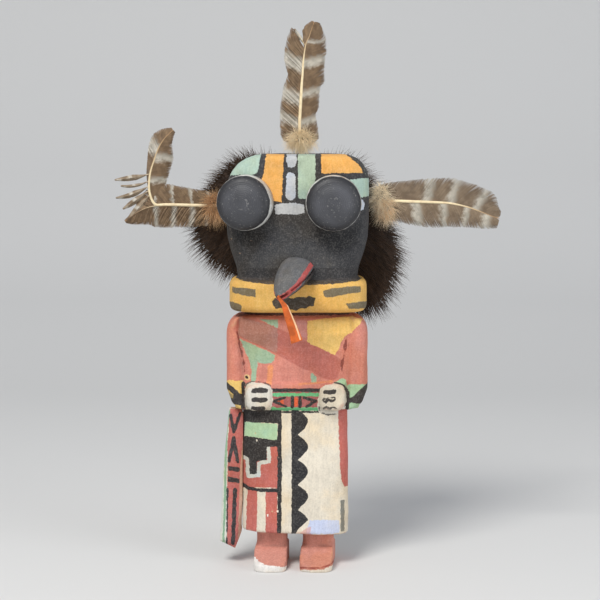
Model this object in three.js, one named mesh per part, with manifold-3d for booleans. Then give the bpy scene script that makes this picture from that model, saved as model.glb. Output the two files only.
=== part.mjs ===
// A kachina doll about 200 mm tall. The figure is carved from one length of cottonwood root and
// painted. Round wooden eyes, a beak, a hip sash, three barred feathers and a strip of fur are
// made apart and pegged, glued or tied on. Millimetres, +Z up; the doll faces -Y and stands on
// its two soles.
import * as THREE from 'three';
import { mergeVertices } from 'three/addons/utils/BufferGeometryUtils.js';
import Module from 'manifold-3d';

const wasm = await Module();
wasm.setup();

// Clearance between two pieces that meet.
const seatGap = 0.3;

// Heights of the figure, stacked from the soles up.
const legLength = 16.6;
const kiltLength = 60.2;
const torsoHeight = 44.6;
const neckHeight = 2.4;
const ruffHeight = 15.2;
const headHeight = 58.6;

// How boxy each part's cross-section is: 2 is an ellipse, and more has squarer corners.
const legBoxy = 4;
const kiltBoxy = 3.6;
const chestBoxy = 5;
const armBoxy = 3.2;
const ruffBoxy = 4;
const headBoxy = 3;

// Points round each cross-section.
const pointsRound = { leg: 24, kilt: 36, chest: 32, arm: 20, neck: 28, ruff: 36, head: 40, eye: 28, beak: 20 };

// Legs and feet.
const legWidth = 15;
const legDepth = 17;
const legSpacing = 22.4;
const footWidth = 15.6;
const footLength = 33;
const heelBehindLeg = 1;
const instepHeight = 9;
const toeHeight = 3.6;
const toeCorner = 5.5;
const toeTurn = { left: -3, right: -4.5 };

// Kilt and belt. The hem flares a little and dips at the doll's left.
const hipShift = -0.9;
const kiltWidth = 50.4;
const kiltDepth = 27;
const hemFlare = 1;
const hemEdge = 0.9;
const hemTilt = -0.035;
const beltHeight = 13.3;
const beltProud = 1.3;
const beltEdge = 1.4;

// Torso, arms and hands. The arms stand proud of the chest, which meets them at the shoulders.
const chestWidth = 60;
const chestDepth = 25.5;
const chestForward = 0.6;
const shoulderWidth = 67.4;
const shoulderRadius = 7.5;
const yokeHeight = 8;
const yokeBlend = 6;
const chestEdge = 2.6;
const ribHeight = 14;
const elbowRadius = 10;
const elbowBelowWaist = 0.4;
const armDepth = 23;
const armProud = 1.4;
const armEdge = 2.2;
const armInnerAtShoulder = { left: 27.6, right: 24.8 };
const armInnerAtWaist = { left: 24, right: 22.4 };
const handWidth = 12.3;
const handHeight = 12.6;
const handThickness = 6.5;
const handProud = 3.6;
const handEdge = 1.5;
const handCorner = 2.2;
const handLean = 4;
const handCentre = { left: -18.2, right: 16.7 };

// Neck and ruff.
const neckWidth = 50;
const neckDepth = 24;
const ruffWidth = 65.4;
const ruffDepth = 38.5;
const ruffForward = 2;
const ruffShift = 0.5;
const ruffEdge = 3;

// Head, turned a little to its own right.
const headWidth = 67.6;
const headDepth = 38;
const headForward = 1;
const headShift = 0.4;
const headTurn = -5;
const jawWidth = 56;
const jawDepth = 33;
const jawRise = 24;
const crownRadius = { left: 17, right: 12.5 };
const crownEdge = 1.6;

// Eyes.
const eyeBaseRadius = 13.3;
const eyeFaceRadius = 12.9;
const eyeLength = 10.5;
const eyeEdge = 2.6;
const eyeDome = 1.1;
const eyeSpacing = 39.4;
const eyeShift = -1.5;
const eyeBelowCrown = 21.2;
const eyeSplay = { left: 11, right: 5 };
const eyeBuried = 6;

// Beak.
const beakBaseWidth = 15.5;
const beakBaseHeight = 11.5;
const beakBuried = 5;
const beakTipRadius = 1.8;
const beakBelowCrown = 52.9;
const beakShift = -0.6;
const beakReach = 17;
const beakDrop = 10.1;
const beakSideways = -8;
const mouthWidth = 1.1;
const mouthDepth = 1.3;
const mouthEnd = 0.8;

// Tongue.
const tongueThickness = 0.9;
const tongueRootWidth = 2.8;
const tongueEndWidth = 4.8;
const tongueSeat = 3;
const tongueDrop = 20;
const tongueSideways = 8.6;
const tongueSwing = 2.5;
const tongueShows = 0.8;
const tongueTurn = 1.6;

// Hip sash.
const sashTopWidth = 7;
const sashWidth = 8.8;
const sashDepth = 8.4;
const sashChamfer = 2.1;
const sashFromFloor = 8.2;
const sashPoint = 5.6;
const sashBehindKiltFront = 6.2;
const sashLean = 2.8;
const sashHeel = 2;
const sashShoulder = 22;
const sashUnderKilt = 3;
const sashTuck = 0.4;
const sashFold = 1;

// Feathers. The outlines list how wide a vane is on either side of its shaft: share of the
// length, then the two widths. A bend carries the tip of the shaft sideways.
const quillRadius = 0.9;
const quillTipRadius = 0.45;
const quillSeat = 7;
const quillSwell = 1.2;
const quillProud = 0.6;
const vaneAboveQuill = 0.6;
const vaneThickness = 0.7;
const vaneCurl = 0.012;
const crownFeather = {
  length: 62,
  bend: 6.5,
  outline: [
    [0, 3, 5], [0.12, 8.4, 9.2], [0.27, 9.2, 8.4], [0.4, 9.4, 8.6], [0.5, 8.4, 9.2],
    [0.6, 7.6, 10.4], [0.72, 9.4, 10.1], [0.88, 9.2, 9.8], [0.96, 7, 8], [1, 3, 3.5],
  ],
};
const rightFeather = {
  length: 63.5,
  bend: 6.5,
  outline: [
    [0, 4, 4], [0.14, 7.9, 9], [0.27, 9.4, 10.8], [0.4, 10.7, 12], [0.6, 12.1, 11.4],
    [0.8, 11.4, 9.4], [0.94, 11.6, 6.4], [1, 3.5, 3],
  ],
};
const leftFeather = {
  length: 48,
  bend: -5,
  outline: [
    [0, 4, 3], [0.14, 9, 6.8], [0.35, 10.4, 8], [0.6, 9.8, 10.8], [0.72, 9.2, 10.2],
    [0.82, 8.4, 5], [0.93, 6, 3], [1, 2.5, 1.5],
  ],
};
const brokenTip = {
  length: 35.5,
  bend: 13,
  outline: [
    [0, 1.5, 5], [0.25, 1.6, 8], [0.45, 2.6, 9.4], [0.7, 5, 8.6], [0.9, 6.5, 7], [1, 3, 2.5],
  ],
};
const brokenAt = 35;
const brokenLean = 9;
const crownFeatherShift = 2.4;
const crownFeatherBack = 6;
const earBelowCrown = { left: 24.6, right: 22.8 };
const earBack = 5;

// Fur strip tied behind the head. Its outline is seen from the front, as shares of its half
// width, out from the middle, and of its height, up from its lower edge.
const furWidth = 107;
const furAboveCrown = 2.4;
const furBelowRuff = 5;
const furFront = 8;
const furBehindHead = 7;
const furOutline = [
  [0, 0.93], [0.5, 0.98], [0.76, 0.8], [0.9, 0.56], [1, 0.36], [0.94, 0.16], [0.78, 0],
  [0.2, 0.04], [-0.38, 0.12], [-0.68, 0.26], [-0.94, 0.4], [-1, 0.58], [-0.84, 0.82], [-0.52, 1],
];

// Levels and faces worked out from the sizes above.
const hemZ = legLength;
const waistZ = hemZ + kiltLength;
const shoulderZ = waistZ + torsoHeight;
const ruffZ = shoulderZ + neckHeight;
const ruffTopZ = ruffZ + ruffHeight;
const crownZ = ruffTopZ + headHeight;
const chestFrontY = -chestDepth / 2 - chestForward;
const faceY = -headDepth / 2 - headForward;
const napeY = headDepth / 2 - headForward;

const rad = THREE.MathUtils.degToRad;
const lerp = THREE.MathUtils.lerp;
const smooth = THREE.MathUtils.smoothstep;
const upward = new THREE.Vector3(0, 0, 1);
const SIDES = ['left', 'right'];
const sideSign = { left: -1, right: 1 };

// A level ring between four sides.
function ring(left, right, front, back, z, boxy, count) {
  const points = [];
  for (let i = 0; i < count; i++) {
    const a = (2 * Math.PI * i) / count;
    const across = Math.sign(Math.cos(a)) * Math.abs(Math.cos(a)) ** (2 / boxy);
    const deep = Math.sign(Math.sin(a)) * Math.abs(Math.sin(a)) ** (2 / boxy);
    points.push(new THREE.Vector3(
      (left + right) / 2 + (across * (right - left)) / 2,
      (front + back) / 2 + (deep * (back - front)) / 2,
      z,
    ));
  }
  return points;
}

// A closed surface through rings that have the same number of points.
function loft(rings) {
  const count = rings[0].length;
  const positions = rings.flat().flatMap((p) => [p.x, p.y, p.z]);
  const index = [];
  for (let k = 0; k + 1 < rings.length; k++) {
    for (let i = 0; i < count; i++) {
      const a = k * count + i;
      const b = k * count + ((i + 1) % count);
      index.push(a, b, b + count, a, b + count, a + count);
    }
  }
  for (const last of [false, true]) {
    const cap = last ? rings.at(-1) : rings[0];
    const start = last ? (rings.length - 1) * count : 0;
    const centre = cap.reduce((sum, p) => sum.add(p), new THREE.Vector3()).divideScalar(count);
    const middle = positions.length / 3;
    positions.push(centre.x, centre.y, centre.z);
    for (let i = 0; i < count; i++) {
      const a = start + i;
      const b = start + ((i + 1) % count);
      index.push(middle, last ? a : b, last ? b : a);
    }
  }
  const geometry = new THREE.BufferGeometry();
  geometry.setAttribute('position', new THREE.Float32BufferAttribute(positions, 3));
  geometry.setIndex(index);
  return geometry;
}

// A closed geometry as a solid that can be joined and cut, with its faces turned outwards.
function solid(geometry) {
  const bare = new THREE.BufferGeometry().setAttribute('position', geometry.getAttribute('position'));
  if (geometry.index) bare.setIndex(geometry.index);
  const merged = mergeVertices(bare, 1e-4);
  const triVerts = new Uint32Array(merged.index.array);
  const build = () => new wasm.Manifold(new wasm.Mesh({
    numProp: 3,
    vertProperties: merged.attributes.position.array,
    triVerts,
  }));
  const made = build();
  if (made.volume() > 0) return made;
  for (let i = 0; i < triVerts.length; i += 3) {
    [triVerts[i + 1], triVerts[i + 2]] = [triVerts[i + 2], triVerts[i + 1]];
  }
  return build();
}

function solidLoft(rings) {
  return solid(loft(rings));
}

function join(solids) {
  return solids.reduce((sum, next) => sum.add(next));
}

function geometryOf(made) {
  const mesh = made.getMesh();
  const geometry = new THREE.BufferGeometry();
  geometry.setAttribute('position', new THREE.BufferAttribute(mesh.vertProperties, 3));
  geometry.setIndex(new THREE.BufferAttribute(mesh.triVerts, 1));
  return geometry.toNonIndexed();
}

// How far a corner of this radius has come in, at a distance before the end.
function cornerInset(radius, toEnd) {
  const into = Math.max(0, radius - Math.max(0, toEnd));
  return radius - Math.sqrt(Math.max(0, radius * radius - into * into));
}

// Heights of the rings of a body with a round at either end.
function levels(low, high, lowRound, highRound, between) {
  const list = [0, 0.1, 0.35, 1].map((step) => low + lowRound * step);
  for (let i = 1; i < between; i++) list.push(lerp(low + lowRound, high - highRound, i / between));
  return [...list, ...[1, 0.7, 0.45, 0.25, 0.1, 0.03, 0].map((step) => high - highRound * step)];
}

function legCentre(side) {
  return hipShift + (sideSign[side] * legSpacing) / 2;
}

function leg(side) {
  const half = legWidth / 2;
  const centre = legCentre(side);
  return solidLoft([instepHeight / 2, hemZ + 4].map((z) =>
    ring(centre - half, centre + half, -legDepth / 2, legDepth / 2, z, legBoxy, pointsRound.leg)));
}

// A foot is a wedge with a round toe, flat underneath.
function foot(side) {
  const heel = legDepth / 2 + heelBehindLeg;
  const toe = heel - footLength;
  const half = footWidth / 2;
  const heelCorner = toeCorner / 2;

  const plan = new THREE.Shape();
  plan.moveTo(-half, heel - heelCorner);
  plan.quadraticCurveTo(-half, heel, -half + heelCorner, heel);
  plan.lineTo(half - heelCorner, heel);
  plan.quadraticCurveTo(half, heel, half, heel - heelCorner);
  plan.lineTo(half, toe + toeCorner);
  plan.quadraticCurveTo(half, toe, half - toeCorner, toe);
  plan.lineTo(-half + toeCorner, toe);
  plan.quadraticCurveTo(-half, toe, -half, toe + toeCorner);
  const outline = new THREE.ExtrudeGeometry(plan, {
    depth: instepHeight + 1,
    bevelEnabled: false,
    curveSegments: 5,
  });

  const shin = -legDepth / 2;
  const profile = new THREE.Shape();
  profile.moveTo(heel + 1, -1);
  profile.lineTo(heel + 1, instepHeight);
  profile.lineTo(shin + 1, instepHeight);
  profile.quadraticCurveTo(shin - 2, instepHeight, shin - 5, lerp(instepHeight, toeHeight, 0.36));
  profile.lineTo(toe + 1.2, toeHeight);
  profile.quadraticCurveTo(toe, toeHeight, toe - 0.2, toeHeight * 0.6);
  profile.lineTo(toe - 1, -1);
  const wedge = new THREE.ExtrudeGeometry(profile, {
    depth: footWidth * 2,
    bevelEnabled: false,
    curveSegments: 4,
  });
  wedge.rotateX(Math.PI / 2);
  wedge.rotateZ(Math.PI / 2);
  wedge.translate(-footWidth, 0, 0);

  const shaped = geometryOf(solid(outline).intersect(solid(wedge)));
  shaped.rotateZ(rad(toeTurn[side]));
  shaped.translate(legCentre(side), 0, 0);
  return solid(shaped);
}

// Each of the carving's parts can be grown outwards by a clearance, for cutting its neighbours.
function kilt(grow = 0) {
  return solidLoft([0, 0.5, 1.1, 14, kiltLength + 1].map((up) => {
    const flare = hemFlare * (1 - Math.min(1, up / kiltLength)) - cornerInset(hemEdge, up + 0.2);
    const half = kiltWidth / 2 + flare * 0.6 + grow;
    const front = chestFrontY + (chestDepth - kiltDepth) / 2 - flare - grow;
    const back = front + kiltDepth + 2 * (flare + grow);
    const tilt = up < 2 ? hemTilt : 0;
    return ring(hipShift - half, hipShift + half, front, back, hemZ + up, kiltBoxy, pointsRound.kilt)
      .map((p) => p.setZ(p.z + tilt * (p.x - hipShift) - (up < 2 ? grow : 0)));
  }));
}

function belt(grow = 0) {
  return solidLoft([0, 0.5, beltEdge, beltHeight - beltEdge, beltHeight - 0.5, beltHeight].map((up) => {
    const proud = beltProud + grow - cornerInset(beltEdge, Math.min(up, beltHeight - up));
    const half = kiltWidth / 2 + proud;
    const front = chestFrontY + (chestDepth - kiltDepth) / 2 - proud;
    const back = front + kiltDepth + 2 * proud;
    return ring(hipShift - half, hipShift + half, front, back, waistZ + up, kiltBoxy, pointsRound.kilt);
  }));
}

function chest(grow = 0) {
  const yoke = torsoHeight - yokeHeight;
  return solidLoft([0, ribHeight, yoke - yokeBlend, yoke, torsoHeight - 2, torsoHeight - 0.5, torsoHeight].map((up) => {
    const soft = cornerInset(chestEdge, torsoHeight - up);
    const half = chestWidth / 2 + grow - soft;
    const front = chestFrontY - grow + soft - armProud * smooth(up, yoke - yokeBlend, yoke);
    const back = chestFrontY + chestDepth + grow - soft;
    return ring(-half, half, front, back, waistZ + up, chestBoxy, pointsRound.chest);
  }));
}

// An arm hangs beside the chest and is rounded at the shoulder and the elbow.
function arm(side, grow = 0) {
  const low = waistZ - elbowBelowWaist;
  return solidLoft(levels(low, shoulderZ, elbowRadius, shoulderRadius, 3).map((z) => {
    const corner = cornerInset(shoulderRadius, shoulderZ - z) + cornerInset(elbowRadius, z - low);
    const outer = shoulderWidth / 2 - corner + grow;
    const inner = lerp(armInnerAtWaist[side], armInnerAtShoulder[side], (z - low) / torsoHeight)
      - cornerInset(armEdge, shoulderZ - z) - grow;
    const ends = cornerInset(armEdge, Math.min(z - low, shoulderZ - z)) - grow;
    const front = chestFrontY - armProud + ends;
    const back = chestFrontY - armProud + armDepth - ends;
    const across = [inner, Math.max(outer, inner + 2)].map((x) => sideSign[side] * x).sort((a, b) => a - b);
    return ring(...across, front, back, z, armBoxy, pointsRound.arm);
  }));
}

// A hand is a rounded pad laid on the belt.
function hand(side) {
  const x = handWidth / 2 - handEdge;
  const z = handHeight / 2 - handEdge;
  const shape = new THREE.Shape();
  shape.moveTo(-x + handCorner, -z);
  shape.absarc(x - handCorner, -z + handCorner, handCorner, -Math.PI / 2, 0);
  shape.absarc(x - handCorner, z - handCorner, handCorner, 0, Math.PI / 2);
  shape.absarc(-x + handCorner, z - handCorner, handCorner, Math.PI / 2, Math.PI);
  shape.absarc(-x + handCorner, -z + handCorner, handCorner, Math.PI, 1.5 * Math.PI);
  const pad = new THREE.ExtrudeGeometry(shape, {
    depth: handThickness - 2 * handEdge,
    bevelThickness: handEdge,
    bevelSize: handEdge,
    bevelSegments: 3,
    curveSegments: 3,
  });
  pad.rotateX(Math.PI / 2);
  pad.rotateY(rad(sideSign[side] * handLean));
  pad.translate(handCentre[side], chestFrontY - handProud + handThickness - handEdge, waistZ + handHeight / 2);
  return solid(pad);
}

function neck() {
  return solidLoft([shoulderZ - 2, ruffZ + 2].map((z) =>
    ring(-neckWidth / 2, neckWidth / 2, -neckDepth / 2, neckDepth / 2, z, headBoxy, pointsRound.neck)));
}

// The ruff is a thick collar with soft edges.
function ruff(grow = 0) {
  const rounds = [0, 0.12, 0.45, 1].map((step) => ruffEdge * step);
  return solidLoft([...rounds, ...rounds.map((up) => ruffHeight - up).reverse()].map((up) => {
    const soft = cornerInset(ruffEdge, Math.min(up, ruffHeight - up)) - grow;
    const half = ruffWidth / 2 - soft;
    const deep = ruffDepth / 2 - soft;
    const z = ruffZ + up + (up < ruffHeight / 2 ? -grow : grow);
    return ring(ruffShift - half, ruffShift + half, -deep - ruffForward, deep - ruffForward, z, ruffBoxy, pointsRound.ruff);
  }));
}

// The head narrows to the jaw, and its crown is rounded more on one side than on the other.
function head(grow = 0) {
  const low = ruffTopZ - 3;
  return solidLoft(levels(low, crownZ + grow, 1, crownRadius.left, 6).map((z) => {
    const toCrown = crownZ + grow - z;
    const jaw = smooth(z, low, ruffTopZ + jawRise);
    const half = lerp(jawWidth, headWidth, jaw) / 2 + grow;
    const deep = lerp(jawDepth, headDepth, jaw) / 2 + grow - cornerInset(crownEdge, toCrown);
    return ring(
      headShift - half + cornerInset(crownRadius.left, toCrown),
      headShift + half - cornerInset(crownRadius.right, toCrown),
      -deep - headForward,
      deep - headForward,
      z,
      headBoxy,
      pointsRound.head,
    ).map((p) => p.applyAxisAngle(upward, rad(headTurn)));
  }));
}

// Where each feather's shaft leaves the head, and the way that it points.
const featherSeat = {
  crown: new THREE.Vector3(crownFeatherShift, crownFeatherBack, crownZ),
  left: new THREE.Vector3(headShift - headWidth / 2, earBack, crownZ - earBelowCrown.left),
  right: new THREE.Vector3(headShift + headWidth / 2, earBack, crownZ - earBelowCrown.right),
};
const featherHeading = {
  crown: new THREE.Vector3(0, 0, 1),
  left: new THREE.Vector3(-1, 0, 0),
  right: new THREE.Vector3(1, 0, 0),
};

// A vane is a thin lens on both sides of its shaft, with the quill below it where it has one.
function blade(feather, root, heading, hasQuill) {
  const sideways = new THREE.Vector3(heading.z, 0, -heading.x);
  const section = (centre, near, far, rib) => {
    const front = [[-near, vaneThickness / 2], [-rib, rib], [rib, rib], [far, vaneThickness / 2]];
    const back = front.map(([u, v]) => [u, -v]).reverse();
    return [...front, ...back].map(([u, v]) => centre.clone()
      .addScaledVector(sideways, u)
      .add(new THREE.Vector3(0, vaneCurl * u * u - v, 0)));
  };
  const edge = quillRadius * quillSwell;
  const quill = (hasQuill ? [-quillSeat, quillProud] : []).map((along) =>
    section(root.clone().addScaledVector(heading, along), edge, edge, quillRadius));
  const vaneStart = hasQuill ? (quillProud + vaneAboveQuill) / feather.length : 0;
  const vane = feather.outline.map(([share, near, far]) => {
    const at = lerp(vaneStart, 1, share);
    const centre = root.clone()
      .addScaledVector(heading, feather.length * at)
      .addScaledVector(sideways, feather.bend * at ** 3);
    return section(centre, near, far, lerp(quillRadius, quillTipRadius, at));
  });
  return solidLoft([...quill, ...vane]);
}

// The left feather's shaft is broken, and its outer end stands up from the break.
function brokenFeather() {
  const lower = blade(leftFeather, featherSeat.left, featherHeading.left, true);
  const breakPoint = featherSeat.left.clone().addScaledVector(featherHeading.left, brokenAt);
  const standing = new THREE.Vector3(-Math.sin(rad(brokenLean)), 0, Math.cos(rad(brokenLean)));
  return lower.add(blade(brokenTip, breakPoint, standing, false));
}

// The hole that a quill is glued into.
function quillHole(name) {
  const depth = quillSeat + seatGap;
  const radius = quillRadius * quillSwell + seatGap;
  const hole = new THREE.CylinderGeometry(radius, radius, depth + 4, 10);
  hole.applyQuaternion(new THREE.Quaternion().setFromUnitVectors(new THREE.Vector3(0, 1, 0), featherHeading[name]));
  const middle = featherSeat[name].clone().addScaledVector(featherHeading[name], 2 - depth / 2);
  hole.translate(middle.x, middle.y, middle.z);
  return solid(hole);
}

function carvedFigure() {
  const whole = join([
    kilt(), belt(), chest(), neck(), ruff(), head(),
    ...SIDES.flatMap((side) => [leg(side), foot(side), arm(side), hand(side)]),
  ]);
  return whole.subtract(join(Object.keys(featherSeat).map(quillHole)));
}

// An eye is a short turned plug with a domed face, glued to the head.
function eye(side) {
  const straight = eyeLength - eyeEdge - eyeDome;
  const flat = eyeFaceRadius - eyeEdge;
  const profile = [[0, -eyeBuried], [eyeBaseRadius, -eyeBuried], [eyeFaceRadius, straight]];
  for (const turn of [0.25, 0.5, 0.75, 1].map((share) => (share * Math.PI) / 2)) {
    profile.push([flat + eyeEdge * Math.cos(turn), straight + eyeEdge * Math.sin(turn)]);
  }
  for (const share of [0.6, 0]) profile.push([flat * share, eyeLength - eyeDome * share * share]);
  const plug = new THREE.LatheGeometry(profile.map(([r, along]) => new THREE.Vector2(r, along)), pointsRound.eye);
  plug.rotateX(Math.PI);
  plug.rotateZ(rad(sideSign[side] * eyeSplay[side]));
  plug.translate(eyeShift + (sideSign[side] * eyeSpacing) / 2, faceY, crownZ - eyeBelowCrown);
  plug.rotateZ(rad(headTurn));
  return solid(plug).subtract(head(seatGap));
}

// The beak is a hooked cone. Its middle line runs from the face to the tip.
const beakRoot = new THREE.Vector3(beakShift, faceY, crownZ - beakBelowCrown);
const beakTip = beakRoot.clone().add(new THREE.Vector3(beakSideways, -beakReach, -beakDrop));
const beakBend = beakRoot.clone()
  .add(new THREE.Vector3(beakSideways * 0.3, -beakReach * 0.62, -beakDrop * 0.3));
const beakMiddle = new THREE.QuadraticBezierCurve3(beakRoot, beakBend, beakTip);

// The beak's own directions at a share of its length, and how much of its base size is left.
function beakFrame(share) {
  const at = THREE.MathUtils.clamp(share, 0, 1);
  const ahead = beakMiddle.getTangent(at);
  const across = new THREE.Vector3().crossVectors(upward, ahead).normalize();
  const up = new THREE.Vector3().crossVectors(ahead, across).normalize();
  return { centre: beakMiddle.getPoint(share), across, up, taper: Math.sqrt(1 - at ** 2.2 * 0.96) };
}

function beakRing(share) {
  const { centre, across, up, taper } = beakFrame(share);
  const wide = Math.max(beakTipRadius, (beakBaseWidth / 2) * taper);
  const tall = Math.max(beakTipRadius, (beakBaseHeight / 2) * taper);
  const points = [];
  for (let i = 0; i < pointsRound.beak; i++) {
    const a = (2 * Math.PI * i) / pointsRound.beak;
    points.push(centre.clone()
      .addScaledVector(across, wide * Math.cos(a))
      .addScaledVector(up, tall * Math.sin(a)));
  }
  return points;
}

function beak() {
  const inFace = beakRing(0).map((p) => p.add(new THREE.Vector3(0, beakBuried, 0)));
  const body = [0, 0.2, 0.4, 0.6, 0.75, 0.87, 0.96, 1].map(beakRing);
  return solidLoft([inFace, ...body])
    .subtract(mouth())
    .subtract(tongueSlit())
    .subtract(head(seatGap))
    .subtract(ruff(seatGap));
}

// A flat bar along the beak's middle line, as wide as the beak at each share plus a reach.
function beakBar(shares, reach, height) {
  return solidLoft(shares.map((share) => {
    const { centre, across, up, taper } = beakFrame(share);
    const half = (beakBaseWidth / 2) * taper + reach;
    return [[-half, -1], [half, -1], [half, 1], [-half, 1]].map(([u, v]) => centre.clone()
      .addScaledVector(across, u)
      .addScaledVector(up, (v * height) / 2));
  }));
}

// The mouth is a shallow groove cut along both cheeks, as far as the slit for the tongue.
function mouth() {
  const groove = beakBar([-0.4, 0, 0.2, 0.4, 0.6, mouthEnd], 5, mouthWidth);
  const core = beakBar([-0.5, 0, 0.25, 0.5, mouthEnd, mouthEnd + 0.1], -mouthDepth, mouthWidth * 3);
  return groove.subtract(core);
}

// The tip is slit from side to side, and the leather tongue is glued into the slit.
function tongueSlit() {
  const depth = tongueSeat / beakMiddle.getLength();
  return beakBar([1 - depth, 1, 1.1], 4, tongueThickness + 2 * seatGap);
}

// The tongue follows the slit out of the tip, then hangs clear of the chest.
function tongue() {
  const { across, up } = beakFrame(1);
  const ahead = beakMiddle.getTangent(1);
  const from = beakTip.clone().addScaledVector(ahead, seatGap - tongueSeat);
  const out = beakTip.clone().addScaledVector(ahead, tongueShows);
  const end = new THREE.Vector3(tongueSideways, tongueSwing, -tongueDrop).add(out);
  const turn = out.clone().addScaledVector(ahead, tongueTurn);
  const free = new THREE.CubicBezierCurve3(out, turn, end.clone().lerp(out, 0.6), end);
  const hangAcross = new THREE.Vector3(0.93, 0, 0.36).normalize();
  const section = (centre, side, face, width) => [[-1, -1], [1, -1], [1, 1], [-1, 1]].map(([u, v]) =>
    centre.clone()
      .addScaledVector(side, (u * width) / 2)
      .addScaledVector(face, (v * tongueThickness) / 2));
  const rings = [from, out].map((centre) => section(centre, across, up, tongueRootWidth));
  for (const share of [0.08, 0.18, 0.3, 0.45, 0.6, 0.75, 0.9, 1]) {
    const side = across.clone().lerp(hangAcross, smooth(share, 0, 0.3)).normalize();
    const face = new THREE.Vector3().crossVectors(free.getTangent(share), side).normalize();
    const width = lerp(tongueRootWidth, tongueEndWidth, smooth(share, 0, 0.5));
    rings.push(section(free.getPoint(share), side, face, width));
  }
  return solidLoft(rings);
}

// The carving without its legs and hands, grown by a clearance.
function carving(grow) {
  return join([
    kilt(grow), belt(grow), chest(grow), ruff(grow), head(grow),
    ...SIDES.map((side) => arm(side, grow)),
  ]);
}

// The sash is a flat wooden slat with its long edges cut back, glued to the kilt's side.
function sash() {
  const top = waistZ - elbowBelowWaist - seatGap - sashChamfer;
  const side = hipShift - kiltWidth / 2 + sashTuck;
  const shape = new THREE.Shape([
    new THREE.Vector2(side + sashUnderKilt, top),
    new THREE.Vector2(side - sashTopWidth + sashChamfer, top),
    new THREE.Vector2(side - sashWidth - sashLean * 0.2 + sashChamfer, top - sashShoulder),
    new THREE.Vector2(side - sashWidth - sashLean + sashChamfer, sashFromFloor + sashHeel + sashChamfer),
    new THREE.Vector2(side - sashWidth * 0.3 - sashLean, sashFromFloor + sashChamfer),
    new THREE.Vector2(side - sashLean * 0.8 - sashChamfer + sashFold, sashFromFloor + sashPoint + sashChamfer),
    new THREE.Vector2(side + sashUnderKilt, top - sashShoulder),
  ]);
  const slat = new THREE.ExtrudeGeometry(shape, {
    depth: sashDepth - 2 * sashChamfer,
    bevelThickness: sashChamfer,
    bevelSize: sashChamfer,
    bevelSegments: 1,
  });
  slat.rotateX(Math.PI / 2);
  const front = chestFrontY + (chestDepth - kiltDepth) / 2 + sashBehindKiltFront;
  slat.translate(0, front + sashDepth - sashChamfer, 0);
  return solid(slat).subtract(carving(seatGap));
}

// The fur is one strip that wraps the back of the head and hangs below the ruff.
function fur() {
  const low = ruffZ - furBelowRuff;
  const tall = crownZ + furAboveCrown - low;
  const curve = new THREE.CatmullRomCurve3(
    furOutline.map(([out, up]) => new THREE.Vector3((out * furWidth) / 2, 0, low + up * tall)),
    true,
  );
  const outline = curve.getPoints(36).slice(0, -1);
  const middle = new THREE.Vector3(0, 0, low + tall / 2);
  const layers = [
    [furFront, 0.92],
    [furFront + 3, 1],
    [napeY + furBehindHead * 0.5, 0.96],
    [napeY + furBehindHead, 0.7],
  ];
  const rings = layers.map(([y, share]) =>
    outline.map((p) => middle.clone().lerp(p, share).setY(y)));
  const holes = Object.keys(featherSeat).map(quillHole);
  return solidLoft(rings).subtract(join([carving(seatGap), neck(), ...holes]));
}

// Colours of the plain solids.
const colours = {
  wood: 0xd9b98a,
  eye: 0x4a4a4d,
  beak: 0x6a6c70,
  tongue: 0xd96a24,
  sash: 0xb8574c,
  feather: 0x8a7355,
  fur: 0x3a281c,
};

function piece(name, made, colour, roughness) {
  const geometry = geometryOf(made);
  geometry.computeVertexNormals();
  const material = new THREE.MeshStandardMaterial({ color: colour, roughness, metalness: 0 });
  const mesh = new THREE.Mesh(geometry, material);
  mesh.name = name;
  return mesh;
}

const crown = blade(crownFeather, featherSeat.crown, featherHeading.crown, true);
const rightEar = blade(rightFeather, featherSeat.right, featherHeading.right, true);

const doll = new THREE.Group();
doll.add(
  piece('carved_figure', carvedFigure(), colours.wood, 0.7),
  piece('left_eye', eye('left'), colours.eye, 0.75),
  piece('right_eye', eye('right'), colours.eye, 0.75),
  piece('beak', beak(), colours.beak, 0.75),
  piece('tongue', tongue(), colours.tongue, 0.7),
  piece('hip_sash', sash(), colours.sash, 0.75),
  piece('crown_feather', crown, colours.feather, 0.6),
  piece('left_feather', brokenFeather(), colours.feather, 0.6),
  piece('right_feather', rightEar, colours.feather, 0.6),
  piece('fur_strip', fur(), colours.fur, 0.9),
);

// The origin is on the floor, under the middle of the whole doll.
const extent = new THREE.Box3().setFromObject(doll);
doll.position.set(
  -(extent.min.x + extent.max.x) / 2,
  -(extent.min.y + extent.max.y) / 2,
  -extent.min.z,
);

export default doll;
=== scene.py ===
import math
import bmesh
import bpy
import numpy as np
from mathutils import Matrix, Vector, noise


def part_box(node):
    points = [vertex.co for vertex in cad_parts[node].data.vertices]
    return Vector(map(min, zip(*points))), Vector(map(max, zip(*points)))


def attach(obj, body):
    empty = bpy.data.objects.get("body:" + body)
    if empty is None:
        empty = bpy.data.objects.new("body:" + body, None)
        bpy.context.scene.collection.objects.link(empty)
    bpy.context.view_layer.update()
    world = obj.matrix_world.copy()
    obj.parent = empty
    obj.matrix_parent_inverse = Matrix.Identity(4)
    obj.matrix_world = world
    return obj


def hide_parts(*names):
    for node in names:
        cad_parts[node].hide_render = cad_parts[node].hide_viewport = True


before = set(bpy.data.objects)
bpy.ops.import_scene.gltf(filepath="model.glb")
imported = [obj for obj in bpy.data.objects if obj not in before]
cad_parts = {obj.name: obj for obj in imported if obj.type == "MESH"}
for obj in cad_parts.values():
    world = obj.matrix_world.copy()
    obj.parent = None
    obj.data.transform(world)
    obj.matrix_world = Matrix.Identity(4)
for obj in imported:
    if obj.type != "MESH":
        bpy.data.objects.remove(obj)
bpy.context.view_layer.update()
mm = 0.001

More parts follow.
